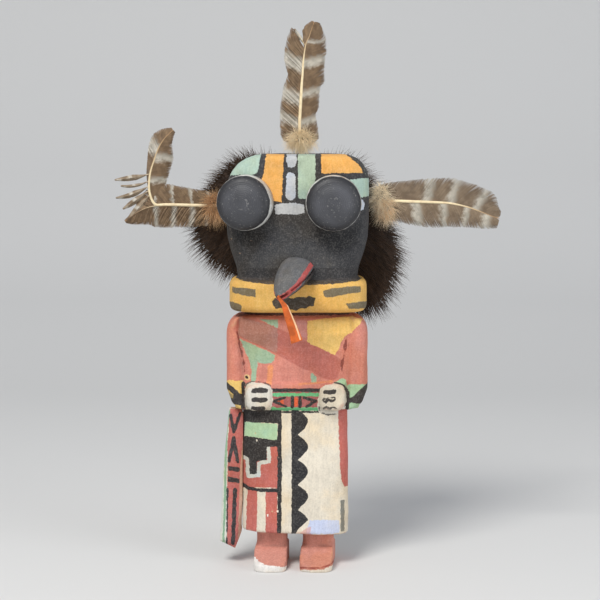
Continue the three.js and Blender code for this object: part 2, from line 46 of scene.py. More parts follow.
# The camera stands where the photograph was taken: a little above the doll's chin and looking
# slightly down at it. The painter's outlines below are given as places in that picture, so the
# camera comes first and carries them onto the wood.
aim = Vector((-6.75, 6.88, 127.8)) * mm
stand_off = 850 * mm
look_down = math.radians(6.5)
picture_size = 600


def in_scene(name, data):
    """A new object in the scene."""
    made = bpy.data.objects.new(name, data)
    bpy.context.scene.collection.objects.link(made)
    return made


camera_data = bpy.data.cameras.new("camera")
camera_data.lens = 106.25
camera_data.sensor_width = 36
camera_data.clip_start = 0.05
camera_data.clip_end = 20
camera = in_scene("camera", camera_data)
camera.location = aim + stand_off * Vector((0, -math.cos(look_down), math.sin(look_down)))
camera.rotation_euler = (math.pi / 2 - look_down, 0, 0)
bpy.context.scene.camera = camera

eye_point = Vector(camera.location)
ahead = Vector((0, math.cos(look_down), -math.sin(look_down)))
rightwards = Vector((1, 0, 0))
upwards = Vector((0, math.sin(look_down), math.cos(look_down)))
focal_pixels = picture_size * camera_data.lens / camera_data.sensor_width
pixel = stand_off / focal_pixels


def seen(points):
    """Where points of the doll fall in the picture, in pixels from its top left corner."""
    out = points - np.array(eye_point)
    depth = out @ np.array(ahead)
    across = picture_size / 2 + focal_pixels * (out @ np.array(rightwards)) / depth
    down = picture_size / 2 - focal_pixels * (out @ np.array(upwards)) / depth
    return np.stack((across, down), axis=1)


def placed(place, depth):
    """The point of the doll at that depth, its world Y, which falls on a place in the picture."""
    across = (place[0] - picture_size / 2) / focal_pixels
    down = (place[1] - picture_size / 2) / focal_pixels
    ray = ahead + rightwards * across - upwards * down
    return eye_point + ray * ((depth - eye_point.y) / ray.y)


def paint(*parts):
    """A paint's red, green and blue, as they look on a screen, in the linear values of a shader."""
    return (*[((part / 255 + 0.055) / 1.055) ** 2.4 if part > 10 else part / 3294 for part in parts], 1)


def darker(colour, share):
    return (*[share * part for part in colour[:3]], 1)


# The carved figure. One length of cottonwood root, whittled with a knife, rubbed down and
# painted with earth colours over a thin white ground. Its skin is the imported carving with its
# edges eased and its surface slightly uneven, as a knife leaves it.
carving_grain = 0.68 * mm
easing_rounds = 9
knife_waves = 0.22 * mm
knife_nicks = 0.06 * mm


def coordinates(mesh):
    points = np.empty(len(mesh.vertices) * 3)
    mesh.vertices.foreach_get("co", points)
    return points.reshape(-1, 3)


def directions(mesh):
    facing = np.empty(len(mesh.vertices) * 3)
    mesh.vertices.foreach_get("normal", facing)
    return facing.reshape(-1, 3)


def edge_ends(mesh):
    ends = np.empty(len(mesh.edges) * 2, dtype=np.int64)
    mesh.edges.foreach_get("vertices", ends)
    return ends.reshape(-1, 2)


def neighbour_mean(values, ends):
    """The mean of each point's neighbours."""
    count = np.bincount(ends.ravel(), minlength=len(values))
    total = np.stack([
        np.bincount(ends[:, 0], weights=column[ends[:, 1]], minlength=len(values))
        + np.bincount(ends[:, 1], weights=column[ends[:, 0]], minlength=len(values))
        for column in values.T
    ], axis=1)
    return total / np.maximum(count, 1)[:, None]


def store(mesh, name, values):
    """Keeps one number for each point of a mesh, for its material to read."""
    mesh.attributes.new(name, "FLOAT", "POINT").data.foreach_set("value", values.astype(np.float32))


def move(mesh, points):
    mesh.vertices.foreach_set("co", points.ravel())
    mesh.update()


def made_smooth(mesh):
    mesh.polygons.foreach_set("use_smooth", [True] * len(mesh.polygons))
    mesh.update()


def applied(piece, modifier):
    """Makes what a modifier gives the piece's own plain mesh."""
    evaluated = piece.evaluated_get(bpy.context.evaluated_depsgraph_get())
    piece.data = bpy.data.meshes.new_from_object(evaluated)
    piece.modifiers.remove(modifier)


def mesh_of(name, shape):
    mesh = bpy.data.meshes.new(name)
    shape.to_mesh(mesh)
    shape.free()
    return mesh


def evened_skin(name, node, voxel, rounds):
    """A closed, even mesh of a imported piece, with its flats and edges eased."""
    shape = bmesh.new()
    shape.from_mesh(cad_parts[node].data)
    bmesh.ops.remove_doubles(shape, verts=shape.verts, dist=0.01 * mm)
    piece = in_scene(name, mesh_of(name, shape))
    remesh = piece.modifiers.new("even", "REMESH")
    remesh.mode = "VOXEL"
    remesh.voxel_size = voxel
    applied(piece, remesh)
    points = coordinates(piece.data)
    ends = edge_ends(piece.data)
    for _ in range(rounds):
        points += 0.6 * (neighbour_mean(points, ends) - points)
        points -= 0.62 * (neighbour_mean(points, ends) - points)
    move(piece.data, points)
    made_smooth(piece.data)
    return piece


def uneven(mesh, waves, nicks, seed):
    """Moves the surface a little in and out, in long waves and small nicks."""
    points = coordinates(mesh)
    shift = Vector((seed * 3.1, seed * 1.7, seed * 0.9))
    long_waves = np.array([noise.noise(Vector(p) / (9 * mm) + shift) for p in points])
    small_nicks = np.array([noise.noise(Vector(p) / (2.4 * mm) + shift) for p in points])
    move(mesh, points + directions(mesh) * (long_waves * waves + small_nicks * nicks)[:, None])


def store_wear(mesh):
    """Keeps how sharply the surface bends, outwards where hands rub it and inwards into hollows."""
    points = coordinates(mesh)
    ends = edge_ends(mesh)
    bend = np.einsum("ij,ij->i", points - neighbour_mean(points, ends), directions(mesh))[:, None]
    for _ in range(4):
        bend = 0.5 * bend + 0.5 * neighbour_mean(bend, ends)
    store(mesh, "bend", bend[:, 0] / mm)


figure = evened_skin("carved_and_painted_figure", "carved_figure", carving_grain, easing_rounds)
uneven(figure.data, knife_waves, knife_nicks, 5)
standing = coordinates(figure.data)
standing[:, 2] = np.maximum(standing[:, 2], 0)
move(figure.data, standing)
store_wear(figure.data)


def nearest_gap(places, starts, ends):
    """How far each place is from the nearest of some straight lines."""
    nearest = np.full(len(places), 1e6)
    for (ax, ay), (bx, by) in zip(starts, ends):
        run = np.array((bx - ax, by - ay))
        share = np.clip(((places - (ax, ay)) @ run) / max(run @ run, 1e-9), 0, 1)
        gap = np.hypot(places[:, 0] - ax - share * run[0], places[:, 1] - ay - share * run[1])
        nearest = np.minimum(nearest, gap)
    return nearest


def patch(*outline):
    """A painted area inside an outline."""
    ends = outline[1:] + outline[:1]

    def reach(places):
        across, down = places.T
        inside = np.zeros(len(places), dtype=bool)
        for (ax, ay), (bx, by) in zip(outline, ends):
            if ay != by:
                crossed = (ay > down) != (by > down)
                inside ^= crossed & (across < ax + (down - ay) * (bx - ax) / (by - ay))
        gap = nearest_gap(places, outline, ends)
        return np.where(inside, gap, -gap)
    return reach


def stroke(width, *line):
    """One pull of the brush along a line."""
    return lambda places: width / 2 - nearest_gap(places, line, line[1:] + line[-1:])


crisp = 0.1
wet = 0.45


class PaintPot:
    """The coats laid on one piece, from the first to the last, each in red, green and blue."""

    def __init__(self, piece, front_ends=30 * mm):
        self.piece = piece
        self.points = coordinates(piece.data)
        self.places = seen(self.points)
        self.front_ends = front_ends
        self.between = (-1, 1)
        self.coats = []

    def lay(self, name, colour, opacity, soft, *reaches):
        """Keeps how far inside the coat each point is, and the coat's finish."""
        store(self.piece.data, name, np.min(reaches, axis=0) / mm)
        self.coats.append((name, paint(*colour), opacity, soft))

    def coat_all_round(self, name, colour, low=-1, high=1, left=-1, right=1):
        """A coat that goes round the piece between two heights, and may end at its sides."""
        across, _, height = self.points.T
        self.lay(name, colour, 1.0, crisp, height - low, high - height, across - left, right - across)

    def coat(self, name, colour, *shapes, opacity=1.0, soft=crisp, between=None, ends=None):
        """A coat on the front, kept between two heights, which ends part way round the side."""
        low, high = between or self.between
        _, depth, height = self.points.T
        reach = np.max([shape(self.places) for shape in shapes], axis=0) * pixel
        back = (self.front_ends if ends is None else ends) - depth
        self.lay(name, colour, opacity, soft, reach, height - low, high - height, back)


hem_z = 16.6 * mm
waist_z = 76.8 * mm
belt_top_z = 87.4 * mm
shoulder_z = 121.8 * mm
ruff_z = 123.7 * mm
ruff_top_z = 139.1 * mm
overlap = 0.6 * mm
figure_paint = PaintPot(figure, 9 * mm)
figure_paint.coat_all_round("pink_body", (206, 132, 116))
figure_paint.coat_all_round("pink_legs", (202, 138, 122), high=hem_z)
figure_paint.coat_all_round("cream_kilt", (222, 213, 195), hem_z - overlap, waist_z + overlap)
figure_paint.coat_all_round("red_belt", (164, 96, 96), waist_z, belt_top_z, -35.5 * mm, 17.5 * mm)
# Painted shade: the neck, in the narrow gap under the ruff, is painted dark brown all round.
figure_paint.coat_all_round("neck_painted_shade", (92, 58, 48), shoulder_z, ruff_z + overlap)
figure_paint.coat_all_round("yellow_ruff", (220, 175, 94), ruff_z, ruff_top_z + overlap)
figure_paint.coat_all_round("black_head", (58, 58, 60), ruff_top_z)

# The head's painting. Blocks of green and orange on black, white dashes down the middle and a
# white bar over the beak. The blocks run over the crown's edge onto its top.
figure_paint.between = (ruff_top_z, 1)
# Painted shadow: soft dark patches on the face under the two eyes, where the eye plugs shade it.
figure_paint.coat(
    "face_painted_eye_shadow", (22, 22, 24),
    patch((234, 220), (262, 228), (266, 238), (252, 247), (236, 240)),
    patch((308, 230), (345, 228), (360, 224), (357, 244), (338, 254), (318, 246)),
    opacity=0.72, soft=3.4)
# Painted light: a soft paler grey over the lower middle of the face, between the shaded eyes and the beak.
figure_paint.coat(
    "face_painted_light_grey", (104, 104, 103),
    patch((262, 254), (290, 243), (318, 250), (338, 262), (332, 274), (252, 274), (250, 264)),
    opacity=0.2, soft=4.0)
figure_paint.coat(
    "head_green", (172, 196, 182),
    patch((205, 130), (263, 130), (260.9, 155.6), (259.2, 164), (256.9, 173.7), (249.4, 174.6),
        (228, 175.4), (205, 177)),
    patch((298, 130), (315.4, 130), (315.4, 200), (298, 198.4)),
    patch((349.2, 179.7), (358, 178.4), (366.8, 178), (390, 177), (390, 197), (369.9, 196.1),
        (359.9, 197.2), (350, 190)))
figure_paint.coat(
    "head_orange", (228, 172, 94),
    patch((267, 130), (284.4, 130), (284.2, 155.9), (283.3, 168), (282.5, 185), (281.6, 202.4),
        (272.4, 200.7), (271.3, 193.8), (262.1, 179.4), (263.2, 175), (264.9, 164), (266.1, 155.6)),
    patch((321.1, 130), (343, 130), (347, 155.6), (353.6, 160), (359.4, 165.4), (363.2, 172.8),
        (321.1, 173.4)))
figure_paint.coat(
    "head_white", (188, 196, 208),
    patch((286.5, 130), (296.5, 130), (296.5, 162), (294.8, 166.4), (291.5, 167.6), (288.2, 166.4),
        (286.5, 162)),
    stroke(9.5, (290.9, 177), (290.5, 195.6)),
    patch((274.4, 204.6), (283, 203.4), (296, 203), (303.8, 205), (304.6, 212.6), (296, 214.5),
        (284, 213.8), (275.4, 214.2)),
    patch((360.6, 199.4), (363.6, 200.6), (364.9, 204.6), (363.6, 209), (360.4, 210.4)))
figure_paint.coat(
    "head_white_side", (190, 194, 198),
    patch((367.6, 199.5), (374, 199.5), (374, 208.7), (367.8, 208.7)),
    ends=-5 * mm)
figure_paint.coat(
    "crown_corner_line", (176, 190, 172),
    stroke(1.5, (349.6, 154.8), (355.2, 158.6), (360.6, 163), (364.4, 168.4), (366.4, 174)),
    opacity=0.75, ends=-3 * mm)
figure_paint.coat(
    "head_rubbed_edge", (150, 146, 138),
    stroke(1.8, (238.4, 278.2), (244, 281), (256, 283), (274, 283.3), (300, 284), (318, 284.9),
        (345, 281.3), (359, 277)),
    opacity=0.6)

# The ruff's painting: grey-brown dabs for leaves on the yellow.
figure_paint.between = (ruff_z, ruff_top_z)
figure_paint.coat(
    "ruff_dabs", (98, 94, 80),
    patch((232.4, 286.6), (244, 288), (255.4, 289.4), (255.6, 297), (244, 295.6), (232.6, 292.6)),
    patch((215, 301), (230.7, 301.5), (238, 303), (241.4, 305.4), (241, 311.7), (215, 312)),
    patch((323.4, 290.4), (335, 288), (350, 286.6), (360.8, 286), (361, 292), (344, 294.6),
        (330, 297.4), (324, 296.6)),
    patch((345.6, 303.4), (366.3, 301.2), (385, 300.6), (385, 308), (366, 308.4), (349, 309)),
    opacity=0.92)
figure_paint.coat(
    "ruff_top_black", (54, 53, 54),
    patch((234, 268), (236.6, 278.6), (244, 281), (254, 282.8), (267, 284), (286, 284.8), (308, 285),
        (324, 284.4), (340, 283.4), (358, 281), (363, 277), (364, 268)),
    opacity=0.95, between=(ruff_z, 1), ends=4 * mm)
figure_paint.coat(
    "ruff_dark_dab", (58, 55, 50),
    patch((271.4, 300.6), (275, 298.2), (280, 299.4), (286, 297), (293, 298.6), (299, 296.4),
        (306, 297.4), (309, 295.8), (315.6, 298), (314, 303), (315, 306), (309, 306.4), (306, 309),
        (301, 308), (297, 310.6), (291, 309), (286, 310.8), (281, 308), (276, 309), (273, 304.6)),
    opacity=0.97)

# The chest's painting. Thin washes of darker red, mauve, green and yellow, one over another,
# as if a blanket were drawn across the chest.
figure_paint.between = (76 * mm, shoulder_z)
figure_paint.coat(
    "chest_red_wash", (172, 92, 82),
    patch((238.3, 315.3), (245.7, 318.2), (262.5, 321.9), (277.9, 327.7), (300.9, 338.7),
        (320.7, 348.3), (334.6, 355.6), (341.9, 360.7), (339.7, 371), (337.5, 378.3), (332.4, 380.5),
        (326.5, 379.1), (318.5, 376.1), (311.9, 371), (302.3, 368.8), (286, 359.3), (264, 348.3),
        (249.3, 341.7), (238.3, 335.8), (233, 330)),
    opacity=0.68, soft=wet)
figure_paint.coat(
    "chest_mauve_wash", (164, 122, 110),
    patch((238.8, 316.3), (262.5, 322.9), (277.9, 328.7), (277, 354), (264, 347.3), (249.3, 340.7),
        (238.3, 334.8)),
    opacity=0.8, soft=wet)
figure_paint.coat(
    "chest_pale_strip", (208, 146, 142),
    patch((297.6, 320), (306.4, 320), (306.8, 339), (298.4, 334)),
    opacity=0.75, soft=wet)
figure_paint.coat(
    "chest_green", (148, 184, 156),
    patch((259.6, 319), (277.9, 319.7), (277.9, 327.7), (268, 323.6)),
    patch((239.8, 338.7), (256, 346), (275.7, 354.9), (274.3, 359.3), (271.3, 363.7), (264, 364.4),
        (257.6, 362), (256.6, 372), (255.8, 382), (251, 382), (251.5, 368.8), (249.3, 360.7),
        (244.9, 350.5)),
    patch((310.4, 371), (316.3, 376), (316.3, 382.7), (311.5, 382.7)),
    opacity=0.92)
figure_paint.coat(
    "chest_yellow", (234, 197, 112),
    patch((307.5, 321), (322, 318.6), (336, 317.5), (352, 316), (362.5, 319), (359.5, 324.8),
        (352.2, 332), (345.6, 336.5), (341.9, 341), (338.3, 349.7), (334.6, 354.9), (324.3, 349.7),
        (315.5, 346), (307.1, 341.7)),
    opacity=0.92)
figure_paint.coat(
    "chest_orange_streak", (232, 150, 84),
    stroke(5.6, (270.4, 367), (269.4, 383)),
    stroke(1.8, (299.4, 384.2), (316, 383), (331.7, 381.3)),
    opacity=0.6, soft=wet)
figure_paint.coat(
    "knot_cream", (228, 200, 140),
    stroke(5.4, (246.6, 377), (247.2, 377.4)),
    opacity=0.8)
figure_paint.coat(
    "knot_hole", (52, 36, 30),
    stroke(2.4, (246.4, 377), (247.2, 377.4)))
figure_paint.coat(
    "shoulder_brown", (186, 104, 60),
    patch((351.4, 314), (360.3, 311.6), (367, 312), (366, 318), (361.7, 318.5), (355, 317.4)),
    opacity=0.85)
figure_paint.coat(
    "arm_groove", (120, 48, 40),
    stroke(1.3, (236.9, 332), (240.5, 349), (242.7, 357.8), (243.8, 363.7), (244.9, 372)),
    stroke(2.4, (241, 350), (241.6, 352)),
    stroke(2.6, (243.4, 361), (243.8, 363)),
    stroke(1.5, (346.3, 335.8), (345.6, 344.6), (343.4, 359.3), (341.9, 369.5), (344.1, 373.9)),
    stroke(3, (345.4, 345), (345, 349)),
    stroke(3.2, (342.6, 361), (342.2, 366)),
    opacity=0.85)

# The elbows and hands. Yellow and green cuffs, black strokes across them, and white hands
# with black fingers.
sleeve_span = (70 * mm, shoulder_z)
figure_paint.between = sleeve_span
figure_paint.coat(
    "cuff_yellow", (230, 196, 116),
    patch((215, 380.4), (243, 380.4), (243.6, 396), (243, 409), (215, 409)))
figure_paint.coat(
    "cuff_green", (168, 204, 166),
    patch((346.6, 384.6), (380, 383.6), (380, 410), (345.6, 409)),
    patch((333.9, 382.7), (340.5, 378.3), (345.6, 379), (347.4, 385.4), (345, 388), (338, 385)))
figure_paint.coat(
    "cuff_olive", (128, 116, 82),
    patch((222, 391), (231, 393), (239, 399), (230, 400), (222, 399)),
    opacity=0.7)
figure_paint.coat(
    "cuff_black", (58, 54, 54),
    stroke(5.2, (222, 381), (228, 386.4), (234, 391.6), (241, 398.4)),
    stroke(5.6, (222, 400.6), (234, 401), (241, 400.6)),
    patch((232.6, 391), (243, 394), (243, 406), (234, 404)),
    stroke(3.6, (243.4, 383.4), (243.2, 396), (242.6, 410)),
    stroke(3.9, (369, 384), (360.6, 391.8), (354, 398.6), (348, 400.6)),
    stroke(4.6, (350.7, 400.4), (368, 403)),
    patch((356, 396), (368, 388), (368, 404), (357, 402.4)),
    stroke(3.6, (335.6, 383.6), (343.8, 386), (347.6, 392.4), (348.2, 400), (346.8, 410)))
figure_paint.between = (waist_z - 3 * mm, belt_top_z + 1 * mm)
figure_paint.coat(
    "belt_green", (104, 186, 132),
    patch((270.4, 393), (320.6, 393), (320.6, 396.4), (270.4, 396.4)),
    patch((267, 407.2), (321.4, 407.2), (321.4, 410.8), (267, 410.8)))
figure_paint.coat(
    "belt_orange", (214, 96, 58),
    patch((294, 397.4), (298, 397.4), (298, 406.8), (294, 406.8)),
    patch((275.4, 401.2), (283.4, 399), (284.4, 405), (279, 403)))
figure_paint.coat(
    "belt_black", (50, 46, 46),
    stroke(3.4, (268, 390.2), (321, 390.2)),
    stroke(1.9, (268, 412), (322, 412)),
    stroke(2.6, (285, 397.8), (273, 401.2), (286, 406.6)),
    stroke(2.9, (303.6, 397.6), (316.3, 401.2), (306.6, 406.6)),
    stroke(3.2, (292.4, 397.4), (292.4, 407)),
    stroke(3.6, (299.9, 397.4), (299.9, 407)),
    between=(waist_z - 3 * mm, belt_top_z + 1.4 * mm))
figure_paint.between = sleeve_span
figure_paint.coat(
    "hand_white", (214, 209, 196),
    patch((245.6, 384.2), (250.5, 381.8), (261, 382.6), (270, 385.4), (272.6, 390), (272.8, 400),
        (271.4, 409.4), (266.5, 413.6), (259.6, 415), (250.5, 413.8), (244.7, 408.6), (244.3, 396.7)),
    patch((320.4, 388.8), (325, 385), (335.3, 383.6), (343, 385.8), (345.4, 391.5), (346.2, 400),
        (345.2, 409.4), (337, 413.8), (328, 415.4), (319.3, 413.2), (317, 406), (318.4, 396.7)))
# Black outlines round the hands, and painted shadow along their lower edges where they stand out from the
# kilt.
figure_paint.coat(
    "hand_outline_and_painted_shadow", (60, 56, 56),
    stroke(1.7, (244.2, 398), (244.3, 407), (246.6, 411.6), (252, 414.2), (260, 415.2), (267, 413.8),
        (271.6, 409.6)),
    stroke(1.4, (244.6, 388), (247, 383.4), (252, 381.4), (262, 382.2), (270, 385), (272.4, 389.6)),
    stroke(1.5, (318.6, 407), (320.6, 412.6), (328, 414.8), (337, 413.6), (345, 410)),
    opacity=0.85)
figure_paint.coat(
    "finger_black", (58, 55, 54),
    stroke(5, (253.4, 390.8), (260, 390), (265.4, 390.6)),
    stroke(4.9, (253.6, 399.8), (260, 400), (265.6, 400)),
    stroke(4.3, (253, 408), (258, 408.8), (263.4, 408.4)),
    stroke(4.4, (325.4, 392), (330, 392.4), (334.4, 391.4)),
    stroke(2.4, (322.6, 400.4), (326, 402.2), (328.6, 399.4), (331.6, 401.8), (335, 399.4)),
    stroke(1.6, (323.4, 398.4), (330, 398), (334.6, 397.6)),
    stroke(1.9, (323.6, 408.6), (327, 406.8), (329.6, 408.8), (332.4, 406.8), (336.4, 408.4)))

# The kilt's painting. White cotton with an embroidered edge: a stepped cloud in black and red
# outlined in pale blue, stripes below it, and a black border with scallops down the middle.
figure_paint.between = (hem_z, waist_z)
scallop_top = 415
scallop_pitch = 25
scallop_depth = 10.6
scallop_root = 297.4
scallop_left = 291.6
scallop_lead = 0.2
scallop_lean = 0.88
scallop_roundness = 1.02
taper_top = 519.8
taper_length = 14.8
taper_inset = 1.8
border_top = 409
border_foot = 536


def scalloped_border(places):
    """A black stripe whose right side swells out and springs back four times, then tapers off."""
    across, down = places.T
    turn = (down - scallop_top) / scallop_pitch + scallop_lead
    swell = np.sin(np.pi * (turn - np.floor(turn)) ** scallop_lean) ** scallop_roundness * scallop_depth
    taper = np.clip((down - taper_top) / taper_length, 0, 1)
    right = scallop_root + swell * (1 - taper) - taper * taper_inset
    return np.min([across - scallop_left, right - across, down - border_top, border_foot - down], axis=0)


figure_paint.coat(
    "kilt_red", (188, 97, 88),
    patch((225, 455), (246, 455), (266, 446), (279, 446), (279, 488), (225, 487)),
    patch((247.6, 487), (257.8, 489), (257.2, 510), (256, 540), (246, 540), (246.6, 510)),
    patch((265.6, 489), (277.4, 489), (277.4, 540), (265.4, 540)),
    patch((337.7, 405), (352, 405), (353.4, 440), (353, 480), (348.4, 485), (344.4, 487), (341.4, 482),
        (340.3, 470)),
    opacity=0.96)
figure_paint.coat(
    "kilt_green", (172, 208, 176),
    patch((243, 421.4), (277.8, 423.9), (276.9, 440.8), (243, 435.6)))
figure_paint.coat(
    "kilt_lilac", (198, 207, 231),
    patch((309.8, 520.2), (339.3, 520.2), (339.8, 540), (304, 540)))
figure_paint.coat(
    "kilt_black", (45, 44, 46),
    patch((225, 405), (281.2, 405), (281, 423.8), (246, 421.8), (225, 421)),
    patch((277.8, 405), (281.9, 405), (281.4, 540), (277.2, 540)),
    patch((225, 436), (246.3, 436), (276.9, 440.4), (279, 440.4), (279, 446.4), (267, 447),
        (267, 460.4), (257, 461.6), (257, 474.4), (249, 475), (248.8, 459), (240, 457), (225, 456)),
    stroke(2.2, (243.4, 408), (243.4, 444)),
    stroke(3.6, (238, 481), (241.7, 483.6), (248.7, 488.2), (258.5, 490), (279, 490.6)),
    scalloped_border)
figure_paint.coat(
    "cloud_outline", (204, 210, 208),
    stroke(3.6, (268.6, 448.6), (268.8, 461.4), (258.9, 463), (258.8, 475.6), (248, 476.2),
        (247.3, 458.6), (242.6, 456.8)))
figure_paint.coat(
    "kilt_grey_marks", (98, 102, 98),
    stroke(1.6, (242.6, 492), (242, 512)),
    patch((340.4, 500), (344.4, 500), (344.8, 531), (340.8, 532)),
    opacity=0.85)
figure_paint.coat(
    "kilt_pink_corner", (214, 160, 150),
    patch((297.5, 536), (304, 530), (311, 526), (310, 540), (297, 540)),
    opacity=0.7)
figure_paint.coat(
    "kilt_chips", (232, 228, 220),
    stroke(1.6, (277.5, 510.7), (277.6, 511.4)),
    stroke(1.5, (267.6, 515), (267.8, 516)),
    stroke(1.4, (257, 440), (257.2, 440.6)))

# The feet's painting: pink moccasins with white soles.
figure_paint.between = (-1 * mm, hem_z)
figure_paint.coat(
    "sole_white", (232, 228, 222),
    patch((245, 556), (255, 557), (258.6, 561), (264, 564.4), (270, 565.6), (276, 566), (284, 567.2),
        (292, 562), (292, 580), (245, 580)),
    patch((295, 570), (303, 569.8), (311.6, 570.3), (322, 569.6), (329, 567.2), (332.6, 564.8),
        (340, 559), (340, 580), (295, 580)))
figure_paint.coat(
    "foot_red_line", (146, 60, 50),
    stroke(1.5, (300, 567.6), (311.6, 568.2), (322, 567.4), (329, 565), (332.6, 562.4), (336, 558)),
    opacity=0.9)


class Value:
    """A value in a node tree, which adds and multiplies as a plain number or vector does."""

    def __init__(self, socket):
        self.socket = socket
        self.tree = socket.id_data
        self.is_vector = socket.type in ("VECTOR", "RGBA")

    def __getitem__(self, label):
        """Another output of the node that this value comes from."""
        return Value(self.socket.node.outputs[label])

    def joined(self, operation, *others):
        kind = "ShaderNodeVectorMath" if self.is_vector else "ShaderNodeMath"
        return wire(self.tree, kind, dict(enumerate((self, *others))), operation=operation)

    def __add__(self, other):
        return self.joined("ADD", other)

    def __sub__(self, other):
        return self.joined("SUBTRACT", other)

    def __rsub__(self, other):
        return self.joined("MULTIPLY_ADD", -1.0, other)

    def __mul__(self, other):
        if self.is_vector and not isinstance(other, tuple):
            return wire(self.tree, "ShaderNodeVectorMath", {0: self, "Scale": other}, operation="SCALE")
        return self.joined("MULTIPLY", other)


def fill(node, fields):
    """Gives each named input of a node a value or a link."""
    for key, value in dict(fields).items():
        if isinstance(value, Value):
            node.id_data.links.new(value.socket, node.inputs[key])
        else:
            node.inputs[key].default_value = value


def wire(tree, kind, fields=(), output=0, **settings):
    """Adds one node, with its settings and its inputs, and gives one of its outputs."""
    node = tree.nodes.new(kind)
    for key, value in settings.items():
        setattr(node, key, value)
    fill(node, fields)
    return Value(node.outputs[output])


def spots(place, scale, detail=3.0, roughness=0.55):
    """A noise, from 0 to 1, over the piece."""
    fields = {"Vector": place, "Scale": scale, "Detail": detail, "Roughness": roughness}
    return wire(place.tree, "ShaderNodeTexNoise", fields)


def ramped(value, low, high, to_low=0.0, to_high=1.0):
    """A value carried smoothly from one span to another."""
    fields = {0: value, 1: low, 2: high, 3: to_low, 4: to_high}
    return wire(value.tree, "ShaderNodeMapRange", fields, interpolation_type="SMOOTHSTEP")


def blended(share, under, over, how="MIX"):
    tree = (share if isinstance(share, Value) else under).tree
    return wire(tree, "ShaderNodeMix", {0: share, 6: under, 7: over}, 2, data_type="RGBA", blend_type=how)


def shaded(colour, shade):
    """A colour made lighter or darker by a number."""
    grey = wire(colour.tree, "ShaderNodeCombineColor", {0: shade, 1: shade, 2: shade})
    return blended(1.0, colour, grey, "MULTIPLY")


def chosen(share, first, second):
    """A number that goes from the first to the second as the share goes from 0 to 1."""
    return wire(share.tree, "ShaderNodeMix", {0: share, 2: first, 3: second}, data_type="FLOAT")


def new_material(name):
    """A new material, and the place on the piece for its patterns to follow."""
    material = bpy.data.materials.new(name)
    material.use_nodes = True
    return material, wire(material.node_tree, "ShaderNodeTexCoord", output="Object")


def held(place, name):
    """What a mesh keeps for each of its points under a name."""
    return wire(place.tree, "ShaderNodeAttribute", output="Fac", attribute_name=name)


def stretched(place, across, along):
    """The piece's coordinates, drawn out along its height, as grain and brush marks run."""
    return wire(place.tree, "ShaderNodeMapping", {0: place, 3: (across, across, along)})


def finished(material, colour, roughness, relief=None, strength=0.5, depth=0.1 * mm, **shine):
    """A material with its colour, its roughness and, if it has one, its relief."""
    tree = material.node_tree
    fields = {"Base Color": colour, "Roughness": roughness}
    if relief:
        bump = {"Strength": strength, "Distance": depth, "Height": relief}
        fields["Normal"] = wire(tree, "ShaderNodeBump", bump)
    fields.update({label.replace("_", " "): value for label, value in shine.items()})
    fill(tree.nodes["Principled BSDF"], fields)
    return material


bare_cottonwood = paint(206, 178, 140)
hollow_and_dust_brown = paint(84, 66, 52)
stain = paint(250, 236, 212)
pale_dust = paint(176, 172, 164)


def painted_material(name, coats, roughness=0.82, chip_limit=0.735, hollow_dark=0.5):
    """Water-based paint on carved wood: coats in order, worn on edges, darker in hollows and with patches of
    dust.
    """
    material, place = new_material(name)
    fine = spots(place, 1500, 4, 0.6)
    ragged = spots(place, 420, 3, 0.6)
    patchy = spots(place, 95, 4, 0.6)
    broad = spots(place, 28, 3)
    strands = spots(stretched(place, 900, 120), 1.0, 4, 0.65)
    bend = held(place, "bend")
    wobble = ragged * 1.5 - 0.75 + (fine * 0.9 - 0.45)
    rubbed = ramped(ragged * 0.05 + bend, 0.045, 0.085) * ramped(patchy, 0.46, 0.66, 0.0, 0.55)
    chips = ramped(patchy * 0.25 + ragged, chip_limit + 0.125, chip_limit + 0.155)
    kept = 1.0 - rubbed.joined("MAXIMUM", chips)
    colour = blended(strands, bare_cottonwood, darker(bare_cottonwood, 0.72))
    for coat_name, coat_colour, opacity, soft in coats:
        share = ramped(held(place, coat_name) + wobble, -soft, soft, 0.0, opacity)
        colour = blended(share * kept, colour, coat_colour)
    brushed = ragged * 0.25 + (strands * 0.3 + patchy * 0.45)
    colour = shaded(colour, ramped(brushed, 0.32, 0.68, 0.83, 1.15) * ramped(fine, 0.32, 0.68, 0.91, 1.09))
    stained = ramped(patchy * 0.4 + broad, 0.62, 0.82, 0.0, 0.7)
    colour = blended(stained, colour, stain, "MULTIPLY")
    # Darker brown in concave hollows, and in broad faint patches of dust.
    corners = ramped(bend, -0.022, -0.08, 0.0, hollow_dark)
    hollows_and_dust = corners.joined("MAXIMUM", ramped(broad, 0.5, 0.72, 0.0, 0.1))
    colour = blended(hollows_and_dust, colour, hollow_and_dust_brown)
    colour = blended(ramped(ragged * 0.3 + fine, 0.6, 0.85, 0.0, 0.13), colour, pale_dust)
    dull = ramped(patchy, 0.3, 0.7, roughness - 0.08, roughness + 0.08)
    relief = strands * 0.5 + fine * 0.35 - chips * 0.8
    return finished(material, colour, dull, relief, 0.55, 0.12 * mm, Specular_IOR_Level=0.3)


def fixed(piece, slot, *nodes, material=None):
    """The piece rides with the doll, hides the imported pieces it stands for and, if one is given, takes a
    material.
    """
    if material:
        piece.data.materials.clear()
        piece.data.materials.append(material)
    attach(piece, "root")
    if nodes:
        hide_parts(*nodes)


earth_paint = painted_material("earth_paint_on_cottonwood", figure_paint.coats)
fixed(figure, "painted_wood", "carved_figure", material=earth_paint)

# The eyes. Two short turned plugs of the same root, domed in front, glued to the head and
# painted dark on the face, with the turned side left white.
eye_rings = 96
eye_length = 9.4 * mm
eye_face_radius = 12.9 * mm
eye_paint_radius = 12.7 * mm
eye_rim = 4.0 * mm
eye_dome = 1.6 * mm
eye_sink = 2.4 * mm


